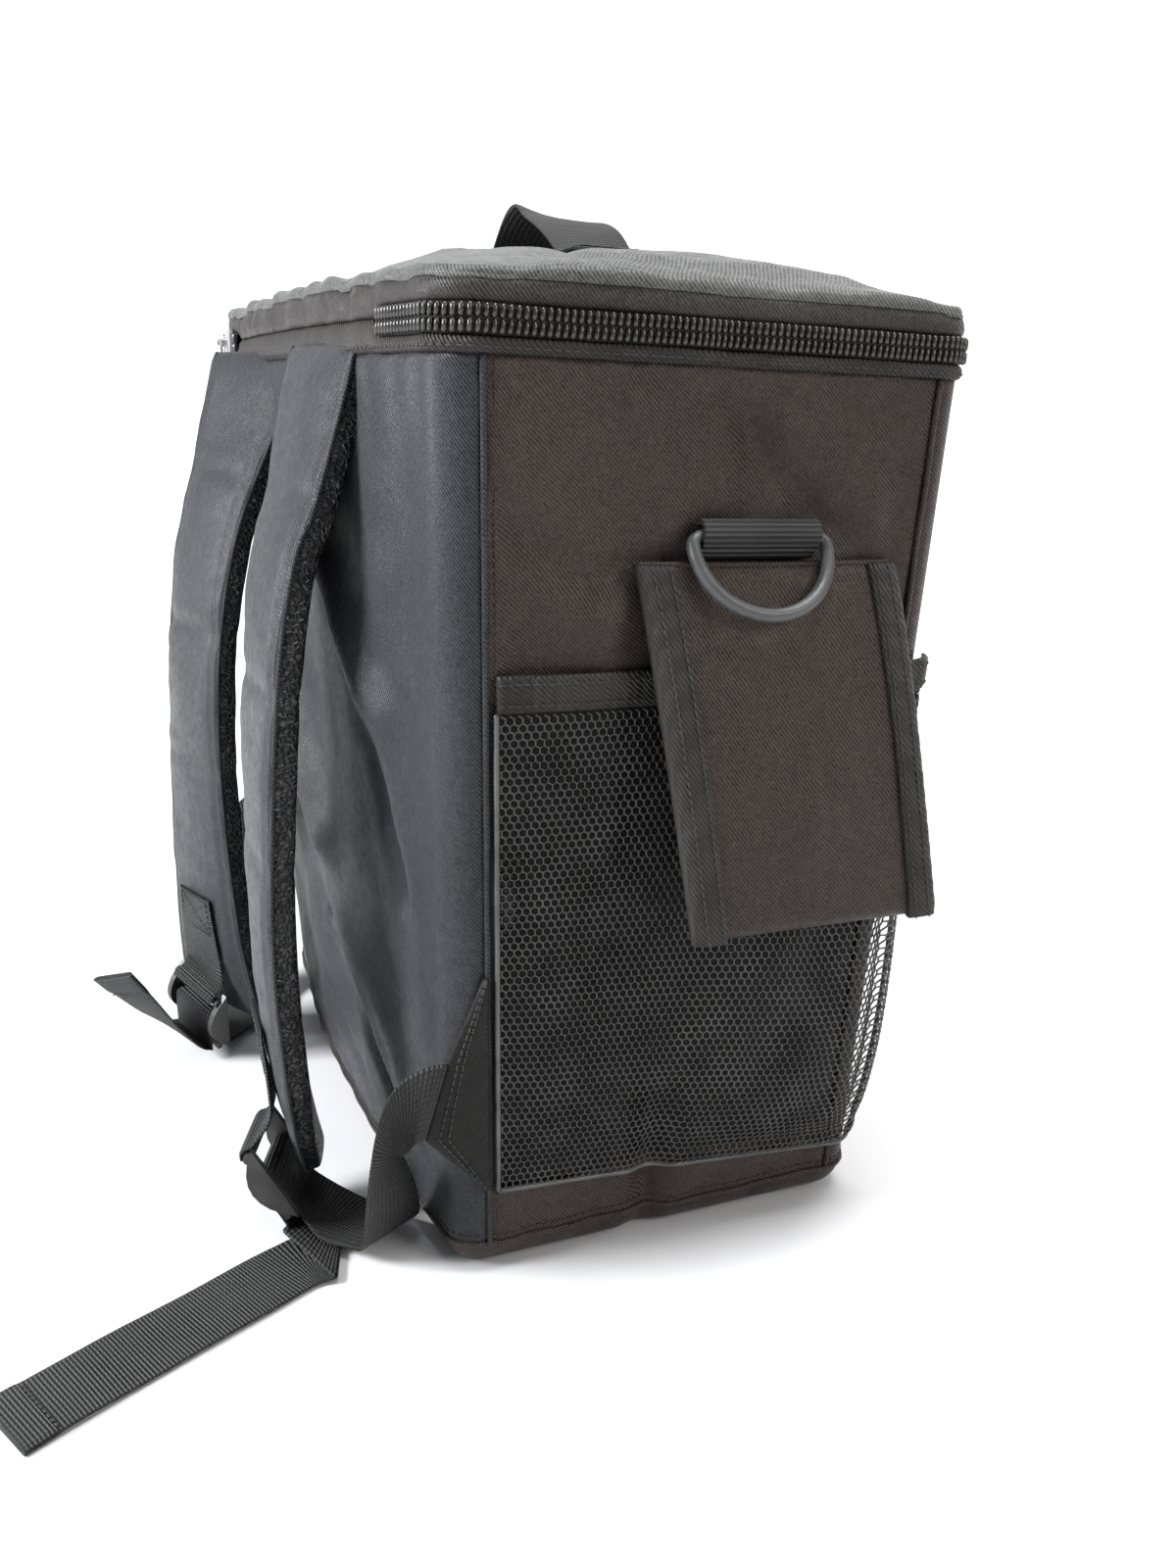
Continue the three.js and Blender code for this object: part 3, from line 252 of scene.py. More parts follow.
def tube(name, path, radius, look, sides=8, **more):
    path = np.asarray(path, float)
    ways = np.gradient(path, axis=0)
    ways /= np.linalg.norm(ways, axis=1, keepdims=True) + 1e-9
    return loft(name, path[:, None] + radius * circles(ways, sides), look, **more)


def run_along(path):
    return np.concatenate([[0], np.cumsum(np.linalg.norm(np.diff(path, axis=0), axis=1))])


def spaced(path, pitch):
    """Points at even steps along a path, and the path's direction there."""
    path = np.asarray(path, float)
    run = run_along(path)
    at = np.arange(pitch / 2, run[-1], pitch)
    points = np.stack([np.interp(at, run, path[:, k]) for k in range(3)], -1)
    t = np.stack([np.interp(at, run, np.gradient(path[:, k], run)) for k in range(3)], -1)
    return points, t / (np.linalg.norm(t, axis=1, keepdims=True) + 1e-9)


def beads(name, centres, ways, length, radius, look, sides=5, **more):
    """Many small capsules in one mesh: stitches and zip coils."""
    profile = ((-.5, .35), (-.32, 1), (.32, 1), (.5, .35))
    ring = circles(ways, sides)
    v = np.stack([centres[:, None] + ways[:, None] * along * length + ring * wide * radius
                  for along, wide in profile], 1)
    n, k, base = len(centres), sides, []
    for r in range(3):
        base += [[r * k + j, r * k + (j + 1) % k, (r + 1) * k + (j + 1) % k, (r + 1) * k + j]
                 for j in range(k)]
    starts = np.arange(n) * 4 * k
    quads = (np.array(base)[None] + starts[:, None, None]).reshape(-1, 4).tolist()
    caps = (starts[:, None] + np.arange(k)[::-1]).tolist()
    caps += (starts[:, None] + 3 * k + np.arange(k)).tolist()
    return mesh(name, v, quads + caps, look, **more)


def stitches(name, paths, look, pitch=3.4, length=2.5, radius=.36, **more):
    centres, ways = zip(*(spaced(p, pitch) for p in paths))
    return beads(name, np.concatenate(centres), np.concatenate(ways), length, radius, look, **more)


def curve(a, b, c, d, u):
    """Catmull-Rom from b to c at the share u."""
    return b + .5 * u * (c - a + u * (2 * a - 5 * b + 4 * c - d + u * (3 * (b - c) + d - a)))


def dense(rows, step=2.5, breaks=()):
    """A curve through rows of numbers whose first three are a place; breaks are fold rows."""
    rows = np.asarray(rows, float)
    cuts = [0, *breaks, len(rows) - 1]
    out = []
    for first, last in zip(cuts, cuts[1:]):
        part = rows[first:last + 1]
        pad = np.concatenate([2 * part[:1] - part[1:2], part, 2 * part[-1:] - part[-2:-1]])
        for k in range(1, len(pad) - 2):
            a, b, c, d = pad[k - 1:k + 3]
            n = max(2, int(np.linalg.norm(c[:3] - b[:3]) / step))
            out += [curve(a, b, c, d, u) for u in np.arange(n) / n]
    out.append(rows[-1])
    return np.array(out)


def ribbon(name, rows, look, thick=1.6, step=2.5, breaks=(), wave=.25, hem=0, **more):
    """Webbing through rows of place, half width and face direction; hem=1 thickens its end."""
    r = dense(rows, step, breaks)
    p, h, n = r[:, :3], r[:, 3:6], r[:, 6:9]
    n = n / np.linalg.norm(n, axis=1, keepdims=True)
    run = run_along(p)
    left = run[-1] - run
    half = [-1, -.97, -.9, -.6, -.3, 0, .3, .6, .9, .97]
    across = np.array(half + [-v for v in half])
    half = [0, .32, .47, .5, .5, .5, .5, .5, .47, .32]
    out = np.array(half + [-v for v in half])
    swell = .9 * smooth((13 - left) / 2) * thick * hem
    ripple = wave * np.sin(run / 9 + across[:, None] * 2).T * smooth(np.minimum(run, left) / 12)[:, None]
    depth = out * (thick + swell[:, None]) + ripple
    rings = p[:, None] + h[:, None] * across[None, :, None] + n[:, None] * depth[..., None]
    return loft(name, rings, look, **more), r


# Looks

class Look:
    """A material with a few nodes of procedural texture."""

    def __init__(self, name, rough, metal=0.0):
        self.mat = bpy.data.materials.new(name)
        self.mat.use_nodes = True
        self.tree = self.mat.node_tree
        self.skin = self.tree.nodes["Principled BSDF"]
        self.skin.inputs["Roughness"].default_value = rough
        self.skin.inputs["Metallic"].default_value = metal
        self.where = self.add("ShaderNodeTexCoord")

    def add(self, kind, links=(), **props):
        node = self.tree.nodes.new(kind)
        for key, value in props.items():
            setattr(node, key, value)
        for key, value in dict(links).items():
            if isinstance(value, bpy.types.NodeSocket):
                self.tree.links.new(value, node.inputs[key])
            else:
                node.inputs[key].default_value = value
        return node

    def noise(self, scale, detail=2.0, space="Object"):
        links = {"Vector": self.where.outputs[space], "Scale": scale, "Detail": detail}
        return self.add("ShaderNodeTexNoise", links).outputs["Fac"]

    def wave(self, scale, way, space="Object", bend=0.0):
        links = {"Vector": self.where.outputs[space], "Scale": scale, "Distortion": bend}
        return self.add("ShaderNodeTexWave", links, bands_direction=way).outputs["Fac"]

    def math(self, kind, a, b=0.0):
        return self.add("ShaderNodeMath", {0: a, 1: b}, operation=kind).outputs[0]

    def ramp(self, value, low, high):
        node = self.add("ShaderNodeMapRange", {"Value": value, "From Min": low, "From Max": high})
        return node.outputs["Result"]

    def blend(self, share, dark, light):
        node = self.add("ShaderNodeMix", {0: share}, data_type="RGBA")
        for socket, value in ((node.inputs[6], dark), (node.inputs[7], light)):
            if isinstance(value, bpy.types.NodeSocket):
                self.tree.links.new(value, socket)
            else:
                socket.default_value = (*value, 1)
        return node.outputs[2]

    def finish(self, colour, height=None, strength=.5, distance=.0003, rough=None):
        self.tree.links.new(colour, self.skin.inputs["Base Color"])
        if height is not None:
            bump = self.add("ShaderNodeBump", {"Height": height, "Strength": strength, "Distance": distance})
            self.tree.links.new(bump.outputs["Normal"], self.skin.inputs["Normal"])
        if rough is not None:
            self.tree.links.new(rough, self.skin.inputs["Roughness"])
        return self.mat


def twill(name, dark, light, sheen=.015, coarse=1.0):
    k = Look(name, .82)
    weave = k.wave(370 / coarse, "DIAGONAL", bend=.5)
    thread = k.noise(1100 / coarse, 1.0)
    slub = k.noise(260, 2.0)
    wear = k.noise(14, 4.0)
    share = k.math("ADD", k.math("MULTIPLY", weave, .5), k.math("MULTIPLY", k.ramp(thread, .32, .68), .36))
    share = k.math("ADD", share, k.math("MULTIPLY", k.math("SUBTRACT", slub, .5), .3))
    share = k.math("ADD", share, k.math("MULTIPLY", k.math("SUBTRACT", wear, .5), .28))
    height = k.math("ADD", k.math("MULTIPLY", weave, .7), k.math("MULTIPLY", thread, .8))
    k.skin.inputs["Sheen Weight"].default_value = sheen
    k.skin.inputs["Sheen Roughness"].default_value = .5
    k.skin.inputs["Specular IOR Level"].default_value = .13
    return k.finish(k.blend(share, dark, light), height, .55, .00035, k.ramp(slub, 1.8, -1.4))


def webbed(name, dark, light, space="UV", way="Y", pitch=.0017):
    k = Look(name, .62)
    rib = k.wave((2 if way == "DIAGONAL" else 1) * pi / (10 * pitch), way, space, .3)
    side = k.wave(pi / (10 * .0024), "X", space, .2)
    thread = k.noise(1200, 1.0)
    wear = k.noise(30, 3.0)
    share = k.math("MULTIPLY", k.math("MULTIPLY", rib, k.ramp(side, -.7, 1)), .85)
    share = k.math("ADD", share, k.math("MULTIPLY", thread, .2))
    share = k.math("ADD", share, k.math("MULTIPLY", k.math("SUBTRACT", wear, .5), .5))
    height = k.math("ADD", rib, k.math("MULTIPLY", side, .45))
    k.skin.inputs["Specular IOR Level"].default_value = .35
    return k.finish(k.blend(share, dark, light), height, 1.0, .0006)


def spacer(name):
    k = Look(name, .42)
    cells = k.add("ShaderNodeTexVoronoi", {"Vector": k.where.outputs["Object"], "Scale": 430.0},
                  feature="DISTANCE_TO_EDGE")
    web = k.ramp(cells.outputs["Distance"], .2, .02)
    share = k.math("MULTIPLY", web, k.ramp(k.noise(420, 1.0), .45, .75))
    return k.finish(k.blend(share, (.0030, .0030, .0034), (.050, .050, .052)), web, 1.0, .0010)


def plastic(name, dark, light, rough):
    k = Look(name, rough)
    grain = k.noise(1500, 2.0)
    wear = k.noise(55, 4.0)
    spread = k.math("ADD", k.math("MULTIPLY", wear, .35), rough - .17)
    return k.finish(k.blend(k.ramp(wear, .3, .75), dark, light), grain, .25, .0001, spread)


def metal(name, dark, light):
    k = Look(name, .3, 1.0)
    rub = k.noise(160, 4.0)
    scratch = k.wave(900, "X", bend=9.0)
    height = k.math("ADD", rub, k.math("MULTIPLY", scratch, .15))
    return k.finish(k.blend(rub, dark, light), height, .25, .0001, k.ramp(rub, -.6, 1.9))


SIDE = twill("side_twill", (.0072, .0054, .0046), (.067, .051, .044))
# Darker twill: painted shade on the side cloth behind the nets; the tabs are also drawn in it.
TABS_AND_PAINTED_SHADE = twill("tabs_and_painted_shade_twill", (.0022, .0020, .0018), (.018, .0162, .015))
BACK = twill("back_twill", (.0055, .0058, .0068), (.052, .0535, .060))
LID = twill("lid_twill", (.0160, .0165, .0160), (.142, .144, .140))
# The lid band's twill is the lid's cloth drawn darker than LID: painted shade on the lid's sides.
LID_BAND_PAINTED_SHADE = twill("lid_band_painted_shade_twill", (.0075, .0068, .0064), (.058, .053, .051))
BIND = webbed("binding", (.0045, .0038, .0034), (.042, .037, .033), "Object", "DIAGONAL", .0021)
WEB = webbed("webbing", (.0016, .0016, .0016), (.042, .041, .041), pitch=.0015)
LOOP = webbed("loop_webbing", (.0025, .0025, .0025), (.042, .041, .040), "Object", "Z", .0019)
MESH = spacer("spacer_mesh")
NET = plastic("netting", (.022, .022, .021), (.086, .085, .082), .28)
COIL = plastic("zip_coil", (.010, .009, .008), (.036, .033, .031), .26)
TAPE = twill("zip_tape", (.0035, .0033, .003), (.014, .013, .012), .02, .8)
RING = plastic("ring_plastic", (.028, .030, .031), (.062, .065, .067), .42)
LOCK = plastic("lock_plastic", (.018, .0175, .017), (.060, .058, .056), .42)
NICKEL = metal("nickel", (.42, .43, .44), (.78, .79, .80))
THREAD = plastic("thread", (.010, .0095, .009), (.034, .032, .030), .7)


def ring_places(start, stop, pitch=2.6):
    """Places round the body about pitch apart, with each segment's ends."""
    long = [SIDE_RUN, 22, BACK_RUN, 22] * 2
    out = [start]
    for k in range(math.floor(start), math.ceil(stop)):
        n = max(6, round(long[k % 8] / pitch))
        out += [s for s in np.linspace(k, k + 1, n + 1) if out[-1] + 1e-3 < s < stop - 1e-3]
    return np.array(out + [stop])


# Walls and base, with piped seams and stitching. The side cloth behind the nets has painted shade: a darker twill
# stands in for the shadow inside the net pockets.

heights = np.linspace(12, TALL + .4, 125)
wall_s = {
    "back_cloth": (5 - SEAM + .0006, 8 + SEAM - .0006, "back_panel", BACK),
    "left_side_cloth": (SEAM + .0006, 1 - .001, "left_side_panel", SIDE),
    "front_cloth": (1 + .001, 4 - .001, "front_panel", SIDE),
    "right_side_cloth": (4 + .001, 5 - SEAM - .0006, "right_side_panel", SIDE),
}
for name, (start, stop, node, look) in wall_s.items():
    s = ring_places(start, stop)
    S, Z = np.meshgrid(s, heights, indexing="ij")
    edge = np.minimum(S - s[0], s[-1] - S) * SIDE_RUN
    cloth = sheet_mesh(name, body_cloth(S, Z, -.9 * np.exp(-edge / 1.6)), look, 1.2, over=[node])
    if "side" in name:
        # Painted shade: faces behind each net pocket, below its elastic, get the darker twill for the pocket's shadow.
        cloth.data.materials.append(TABS_AND_PAINTED_SHADE)
        for face in cloth.data.polygons:
            face.material_index = int(.036 < face.center.z < .236 and face.center.y > -.094)

upright = np.linspace(13, TALL, 150)
for name, s, look in (("left_back_seam", SEAM, BACK), ("right_back_seam", 5 - SEAM, BACK),
                      ("left_front_seam", 1.0, SIDE), ("right_front_seam", 4.0, SIDE)):
    wobble = .25 * np.sin(upright / 7 + s)
    tube(name, on_body(s, upright, .15 + wobble), 1.15, look)
seam_rows = [on_body(s, upright, .35) for s in (8 + SEAM + .022, 5 - SEAM - .022)]
stitches("seam_stitches", seam_rows, THREAD)

BASE_ROUND = 13
round_s = ring_places(0, 8)[:-1]
base_profile = [(1.0, 40), (.4, 22), (.5, 15)]
base_profile += [(BASE_ROUND * (1 - math.cos(a)), BASE_ROUND * (1 - math.sin(a)))
                 for a in np.linspace(.1, pi / 2, 9)]
base = np.stack([(body_cloth if z > 8 else on_body)(round_s, z, -inset) for z, inset in base_profile], 1)
base_obj = sheet_mesh("base_cloth", base, SIDE, loop=True, over=["base_panel"])
underside = np.stack([on_body(round_s, 1.0, -inset) for inset in (39, 62, 90)], 1)
sheet_mesh("base_underside", underside, SIDE, loop=True)
tube("base_seam", body_cloth(np.append(round_s, 0), 13.2, .2), 1.1, SIDE, sides=8)
stitches("base_stitches", [body_cloth(round_s, 16.6, .25)], THREAD)

# Top band, zip and lid. Where the zip leaves the back open, band and lid meet as a hinge.

HINGE0, HINGE1 = on_back(-124), on_back(118)
ZIP0, ZIP1 = HINGE1, 8 + HINGE0
BAND_TOP, ZIP_LOW, LID_LOW, LID_EDGE = 355.6, 355.9, 365.6, 373.2
LID_Z, LID_RISE = 377.05, 19  # the lid's top at its rim, and its swell


def hinge(s):
    """1 along the hinge, 0 along the zip."""
    s = np.mod(s, 8)
    return smooth((s - HINGE0) / .03) * smooth((HINGE1 - s) / .03)


def gathers(s, amount):
    x, y, _ = np.moveaxis(on_body(s, TALL), -1, 0)
    return amount * (np.sin((x - y) / 2.9 + 2 * lumps(x, y, 70, 31)) * .5 + .8 * lumps(x, y, 22, 33))


band_s = ring_places(0, 8, 2.0)[:-1]
ruffle = gathers(band_s, .35)
band_high = BAND_TOP - TALL + 5.9 * hinge(band_s)
band = [on_body(band_s, TALL + band_high * share, out + ruffle) for share, out in
        ((.03, -4), (.03, .2), (.12, 1.6), (.35, 2.3), (.62, 2.3), (.88, 1.7), (1, .6), (1, -4))]
band_obj = sheet_mesh("band_cloth", np.stack(band, 1), BIND, loop=True, over=["top_band"])
stitches("band_stitches", [on_body(band_s, 352.2, 2.5 + ruffle)], THREAD, radius=.33)

zip_s = ring_places(ZIP0, ZIP1, 2.0)
zip_low = ZIP_LOW + .15 * np.sin(zip_s * 9.0) * smooth((zip_s - ZIP0) / .1)
tape = [on_body(zip_s, zip_low + h, out) for h, out in
        ((-.2, -2), (-.1, 1.1), (2.4, 1.9), (4.75, 2.0), (7.1, 1.9), (9.6, 1.1), (9.7, -2))]
tape_obj = sheet_mesh("zip_tape", np.stack(tape, 1), TAPE, .6, over=["zip_chain"])
rows, ways = [], []
for level in (2.35, 7.1):
    spots, way = spaced(on_body(zip_s, zip_low + level, 2.5), 2.7)
    rows.append(spots)
    ways.append(np.cross(way, np.cross([0, 0, 1.0], way)) + way * .12)
ways = np.concatenate(ways)
ways /= np.linalg.norm(ways, axis=1, keepdims=True)
coil = beads("zip_coils", np.concatenate(rows), ways, 4.5, 1.0, COIL)
tube("zip_cord", on_body(zip_s, zip_low + 4.7, 2.1), .45, TAPE, sides=6)

low = LID_LOW - 3.7 * hinge(band_s)
rim = on_body(band_s, LID_EDGE)
slack = .9 * lumps(rim[:, 0], rim[:, 1], 62, 91) + .5 * lumps(rim[:, 0], rim[:, 1], 24, 93)
roll = 1.1 * np.sin(rim[:, 0] / 7 + rim[:, 1] / 9 + 2 * slack) * hinge(band_s)
lid_side = [on_body(band_s, low + (LID_EDGE - low) * share,
                    out + ruffle + slack * share + roll * hump(share))
            for share, out in ((0, -4), (0, .3), (.12, 1.4), (.35, 1.9), (.7, 1.6), (1, .9), (1, -4))]
# The lid band wears the darker copy of the lid's cloth as painted shade.
lid_band = sheet_mesh("lid_band_cloth", np.stack(lid_side, 1), LID_BAND_PAINTED_SHADE, loop=True, over=["lid_band"])


def lid_top(x, y):
    across = (1 - np.clip(abs(x) / HW, 0, 1) ** 3) ** .8
    deep = (1 - np.clip(abs(y) / HD, 0, 1) ** 2.6) ** .8
    soft = smooth(across * deep / .35)
    fine = ridges(x, y, LID_CREASES) + .8 * lumps(x, y, 75, 41) + .32 * lumps(x, y, 28, 43)
    return LID_Z + LID_RISE * across * deep + soft * fine


lid_rings = [on_body(band_s, 373.1, .6), on_body(band_s, 373.3, 1.1 + ruffle + slack),
             on_body(band_s, 374.8 + .4 * slack, 1.3 + gathers(band_s, .3) + 1.3 * slack),
             on_body(band_s, 376.3 + .9 * slack, .7 + gathers(band_s, .25) + 1.2 * slack),
             on_body(band_s, 377.5 + 1.3 * slack, -.6 + .8 * slack)]
for share in (.012, .02, .03, .045, .065, .09, .12, .16, .21, .26, .31, .37, .43, .5, .58, .66,
              .74, .82, .9, .96, .995):
    p = rim * (1 - share)
    p[:, 2] = np.maximum(lid_top(p[:, 0], p[:, 1]), 377.9) + 1.5 * math.exp(-share / .09) * slack
    lid_rings.append(p)
lid_obj = sheet_mesh("lid_cloth", np.stack(lid_rings, 1), LID, 1.2, loop=True, over=["lid_panel"])

# Top handle, rings and loops

HANDLE = [(-60.8, 0, 396.7, 0, 17, 0, -.03, 0, 1), (-44.7, 0, 397.2, 0, 17, 0, -.25, 0, .97),
          (-37.4, 0, 402.8, 0, 16.8, -2.4, -.59, .11, .8), (-25, 0, 411.6, 0, 15.8, -6.4, -.42, .34, .84),
          (-11.4, 0, 415.7, 0, 16, -5.8, -.09, .34, .94), (2.6, 0, 414.2, 0, 17, -1.2, .16, .07, .98),
          (17.7, 0, 410.9, 0, 16.9, 1.8, .3, -.1, .95), (32.2, 0, 405, 0, 16.8, 2.4, .44, -.13, .89),
          (42.6, 0, 398.7, 0, 17, 1.2, .47, -.06, .88), (46.8, 0, 397.2, 0, 17, 0, .11, 0, .99),
          (60.8, 0, 396.7, 0, 17, 0, .03, 0, 1)]
handle, _ = ribbon("handle_webbing", HANDLE, WEB, 2.0, wave=.35, over=["top_handle"])
crosses = []
for x0, x1 in ((-59, -47), (48, 60)):
    box = [(x0, -14), (x1, -14), (x1, 14), (x0, 14), (x0, -14), (x1, 14), (x1, -14), (x0, 14)]
    crosses += [np.array([(a[0], a[1], 398.2), (b[0], b[1], 398.2)]) for a, b in zip(box, box[1:])]
stitches("handle_stitches", crosses, THREAD, pitch=3, length=2.2)

for side in ("left", "right"):
    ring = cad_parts[side + "_d_ring"]
    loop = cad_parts[side + "_ring_loop"]
    for obj, look in ((ring, RING), (loop, LOOP)):
        obj.data.materials.clear()
        obj.data.materials.append(look)
        weld = obj.modifiers.new("weld", "WELD")
        weld.merge_threshold = 2e-5
    round_off = ring.modifiers.new("round", "SUBSURF")
    round_off.levels = round_off.render_levels = 2
    ring.data.polygons.foreach_set("use_smooth", [True] * len(ring.data.polygons))
    soft = loop.modifiers.new("edges", "BEVEL")
    soft.width, soft.segments, soft.limit_method = .0006, 2, "ANGLE"

# Net pockets, made of single strands


def table(values, t):
    """Values at even steps from 0 to 1, read at t along a curve through them."""
    values = np.asarray(values, float)
    place = np.clip(t, 0, 1) * (len(values) - 1)
    i = np.minimum(np.floor(place).astype(int), len(values) - 2)
    u = place - i
    a, b, c, d = (values[np.clip(i + k, 0, len(values) - 1)] for k in (-1, 0, 1, 2))
    return curve(a, b, c, d, u)


ACROSS = [0, .16, .24, .32, .42, .56, .74, .90, .98, .92, .30]
UPWARD = [0, .62, .92, 1, .96, .86, .72, .56, .40, .30]
POCKET0, NET_TOP, NET_OUT = SEAM + .02, 231.7, 1.2


def pocket_place(u):
    """The net's front edge is sewn just round the front corner."""
    u = u / .95
    return POCKET0 + (1 - POCKET0) * np.minimum(u, 1) + .7 * np.clip(u - 1, 0, 1) / (1 / .95 - 1)


def pocket(side, u, v, more=0.0):
    """u from back to front and v from the foot to the net's top."""
    s = pocket_place(u)
    foot = 38 - 12 * u
    swell = np.maximum(table(ACROSS, u), 0) * np.maximum(21 * table(UPWARD, v), 6)
    stand = NET_OUT + swell * smooth(v / .03)
    return on_body(s if side > 0 else 5 - s, foot + (NET_TOP - foot) * v, stand + more)


def net(name, side, node):
    wide, tall, pitch = 182.0, 200.0, 3.3
    dy = pitch * math.sqrt(3) / 2
    edge = pitch / math.sqrt(3)
    rows_n, cols_n = int(tall / dy) + 1, int(wide / pitch) + 1
    j, i = np.meshgrid(np.arange(rows_n), np.arange(cols_n), indexing="ij")
    cx, cy = (i + .5 * (j % 2)).ravel() * pitch, j.ravel() * dy
    corner = [np.stack([cx + edge * math.sin(k * pi / 3), cy + edge * math.cos(k * pi / 3)], -1)
              for k in range(4)]
    segs = np.concatenate([np.stack(pair, 1) for pair in zip(corner, corner[1:])])
    keep = (segs.min((1, 2)) >= 0) & (segs[..., 0].max(1) <= wide) & (segs[..., 1].max(1) <= tall)
    segs = segs[keep]
    slack = 1 + .008 * lumps(segs[..., 0], segs[..., 1], 40, 51)
    p = pocket(side, segs[..., 0] / wide * slack.clip(0, 1), segs[..., 1] / tall, .9)
    way = p[:, 1] - p[:, 0]
    way /= np.linalg.norm(way, axis=1, keepdims=True)
    out = np.array([side, 0, 0.0]) + 0 * way
    b = np.cross(way, out)
    b /= np.linalg.norm(b, axis=1, keepdims=True)
    out = np.cross(b, way)
    r = .46
    prism = [out * r, -.5 * out * r + .87 * b * r, -.5 * out * r - .87 * b * r]
    verts = np.stack([p[:, e] + (2 * e - 1) * way * .2 + q for e in (0, 1) for q in prism], 1)
    tri = np.array([[0, 1, 4, 3], [1, 2, 5, 4], [2, 0, 3, 5]])
    faces = (tri[None] + (np.arange(len(p)) * 6)[:, None, None]).reshape(-1, 4)
    obj = mesh(name, verts, faces, NET, over=[node])


hem_u = np.linspace(0, 1, 140)
for name, side in (("left", 1), ("right", -1)):
    net(name + "_net", side, name + "_net_pocket")
    for k, (u, v) in enumerate(((hem_u, 0 * hem_u), (0 * hem_u, hem_u), (1 + 0 * hem_u, hem_u))):
        tube(f"{name}_net_edge_{k}", pocket(side, u, v, .5), 1.1, NET, sides=6)
    level = [(245, 0), (245.2, 1.1), (244.2, 2.0), (241.8, 2.2), (238.6, 2.3), (235.2, 2.2),
             (232.8, 2.0), (231.8, 1.1), (232, 0)]
    stand = NET_OUT + np.maximum(table(ACROSS, hem_u), 0) * 6.3
    s = pocket_place(hem_u)
    s = s if side > 0 else 5 - s
    pleat = .35 * np.sin(hem_u * 260) + .25 * np.sin(hem_u * 97)
    rings = np.stack([on_body(s, z, stand + o + (pleat if o > 1.5 else 0)) for z, o in level], 1)
    band_piece = loft(f"{name}_elastic", rings, BIND, over=[name + "_pocket_elastic"])
    hems = [on_body(s, z, stand + 2.6) for z in (242.2, 234.6)]
    stitches(f"{name}_elastic_stitches", hems, THREAD, pitch=3.0, length=2.2)

# Hanging pouch: y of its back edge, height of its mouth, width and length

POUCH_Y, POUCH_Z, POUCH_WIDE, POUCH_TALL = -32, 283, 106, 136
REST = max(float(on_body(.5 + y / SIDE_RUN, POUCH_Z)[0])
           for y in (POUCH_Y, POUCH_Y + POUCH_WIDE / 2, POUCH_Y + POUCH_WIDE)) + .3


def pouch(u, v, out=0.0):
    """u from back to front and v from the mouth down; its foot swings out over the net."""
    return np.stack([REST + 24 * np.clip(v, 0, 1) ** .7 + out,
                     POUCH_Y + POUCH_WIDE * u + 20 * v + 0 * out,
                     POUCH_Z - POUCH_TALL * v + 0 * out], -1)


def pouch_front(u, v):
    room = 7 * (.12 + .88 * hump(u)) * (.5 + .5 * smooth(2 * v)) * (1 - .8 * np.clip(v, 0, 1) ** 3)
    room = room - 1.1 * np.exp(-((u - .5 - .06 * np.sin(3 * v)) / .03) ** 2) * hump(v)
    place = u * POUCH_WIDE, v * POUCH_TALL
    fine = .5 * lumps(*place, 46, 61) + .25 * lumps(*place, 17, 63)
    return 3.6 + room + fine * hump(u) * smooth(v / .08)


mouth = np.linspace(0, 1, 60)
U, V = np.meshgrid(mouth, np.concatenate([np.linspace(0, .97, 70), [.985, .995, 1.0]]), indexing="ij")
front = pouch(U, V, pouch_front(U, V) * np.where(V > .98, 1 - .6 * (V - .98) / .02, 1))
front_obj = sheet_mesh("pouch_front", front, SIDE, 1.4, flip=True, over=["pouch_cloth"])
sheet_mesh("pouch_back", pouch(U, V, .9 + 0 * U), SIDE, .8, flip=True)
tube("pouch_mouth", pouch(mouth, 0 * mouth, pouch_front(mouth, 0 * mouth) - .6), 1.2, SIDE)
down = np.linspace(0, 1, 90)
for name, edge, inward in (("back", 0.0, 1), ("front", 1.0, -1)):
    reach = inward * 12.5 / POUCH_WIDE
    rings = []
    for du, out, outer in ((1, 1.0, 1), (.97, 1.9, 1), (.5, 2.2, 1), (.1, 2.0, 1), (-.05, 1.0, 1),
                           (-.06, 0, 0), (.1, .4, 0), (.9, .4, 0)):
        u = edge + du * reach + 0 * down
        over = pouch_front(np.clip(u, 0, 1), down) * (1 - .25 * smooth((down - .97) / .03))
        rings.append(pouch(u, down * 1.004, outer * over + out + .15 * np.sin(down * 120)))
    piece = loft(f"pouch_{name}_tape", np.stack(rings, 1), BIND, over=[f"pouch_{name}_binding"])
    places = [edge + k * reach + 0 * down for k in (.82, .3)]
    lines = [pouch(u, down, pouch_front(np.clip(u, 0, 1), down) + 2.5) for u in places]
    stitches(f"pouch_{name}_stitches", lines, THREAD, pitch=3.2, length=2.3)

# Shoulder straps and webbing. Each row has a place, half the width and the way it faces; in
# STRAPS that way's length is the pad's thickness. Each STRAPS table starts at the seam.

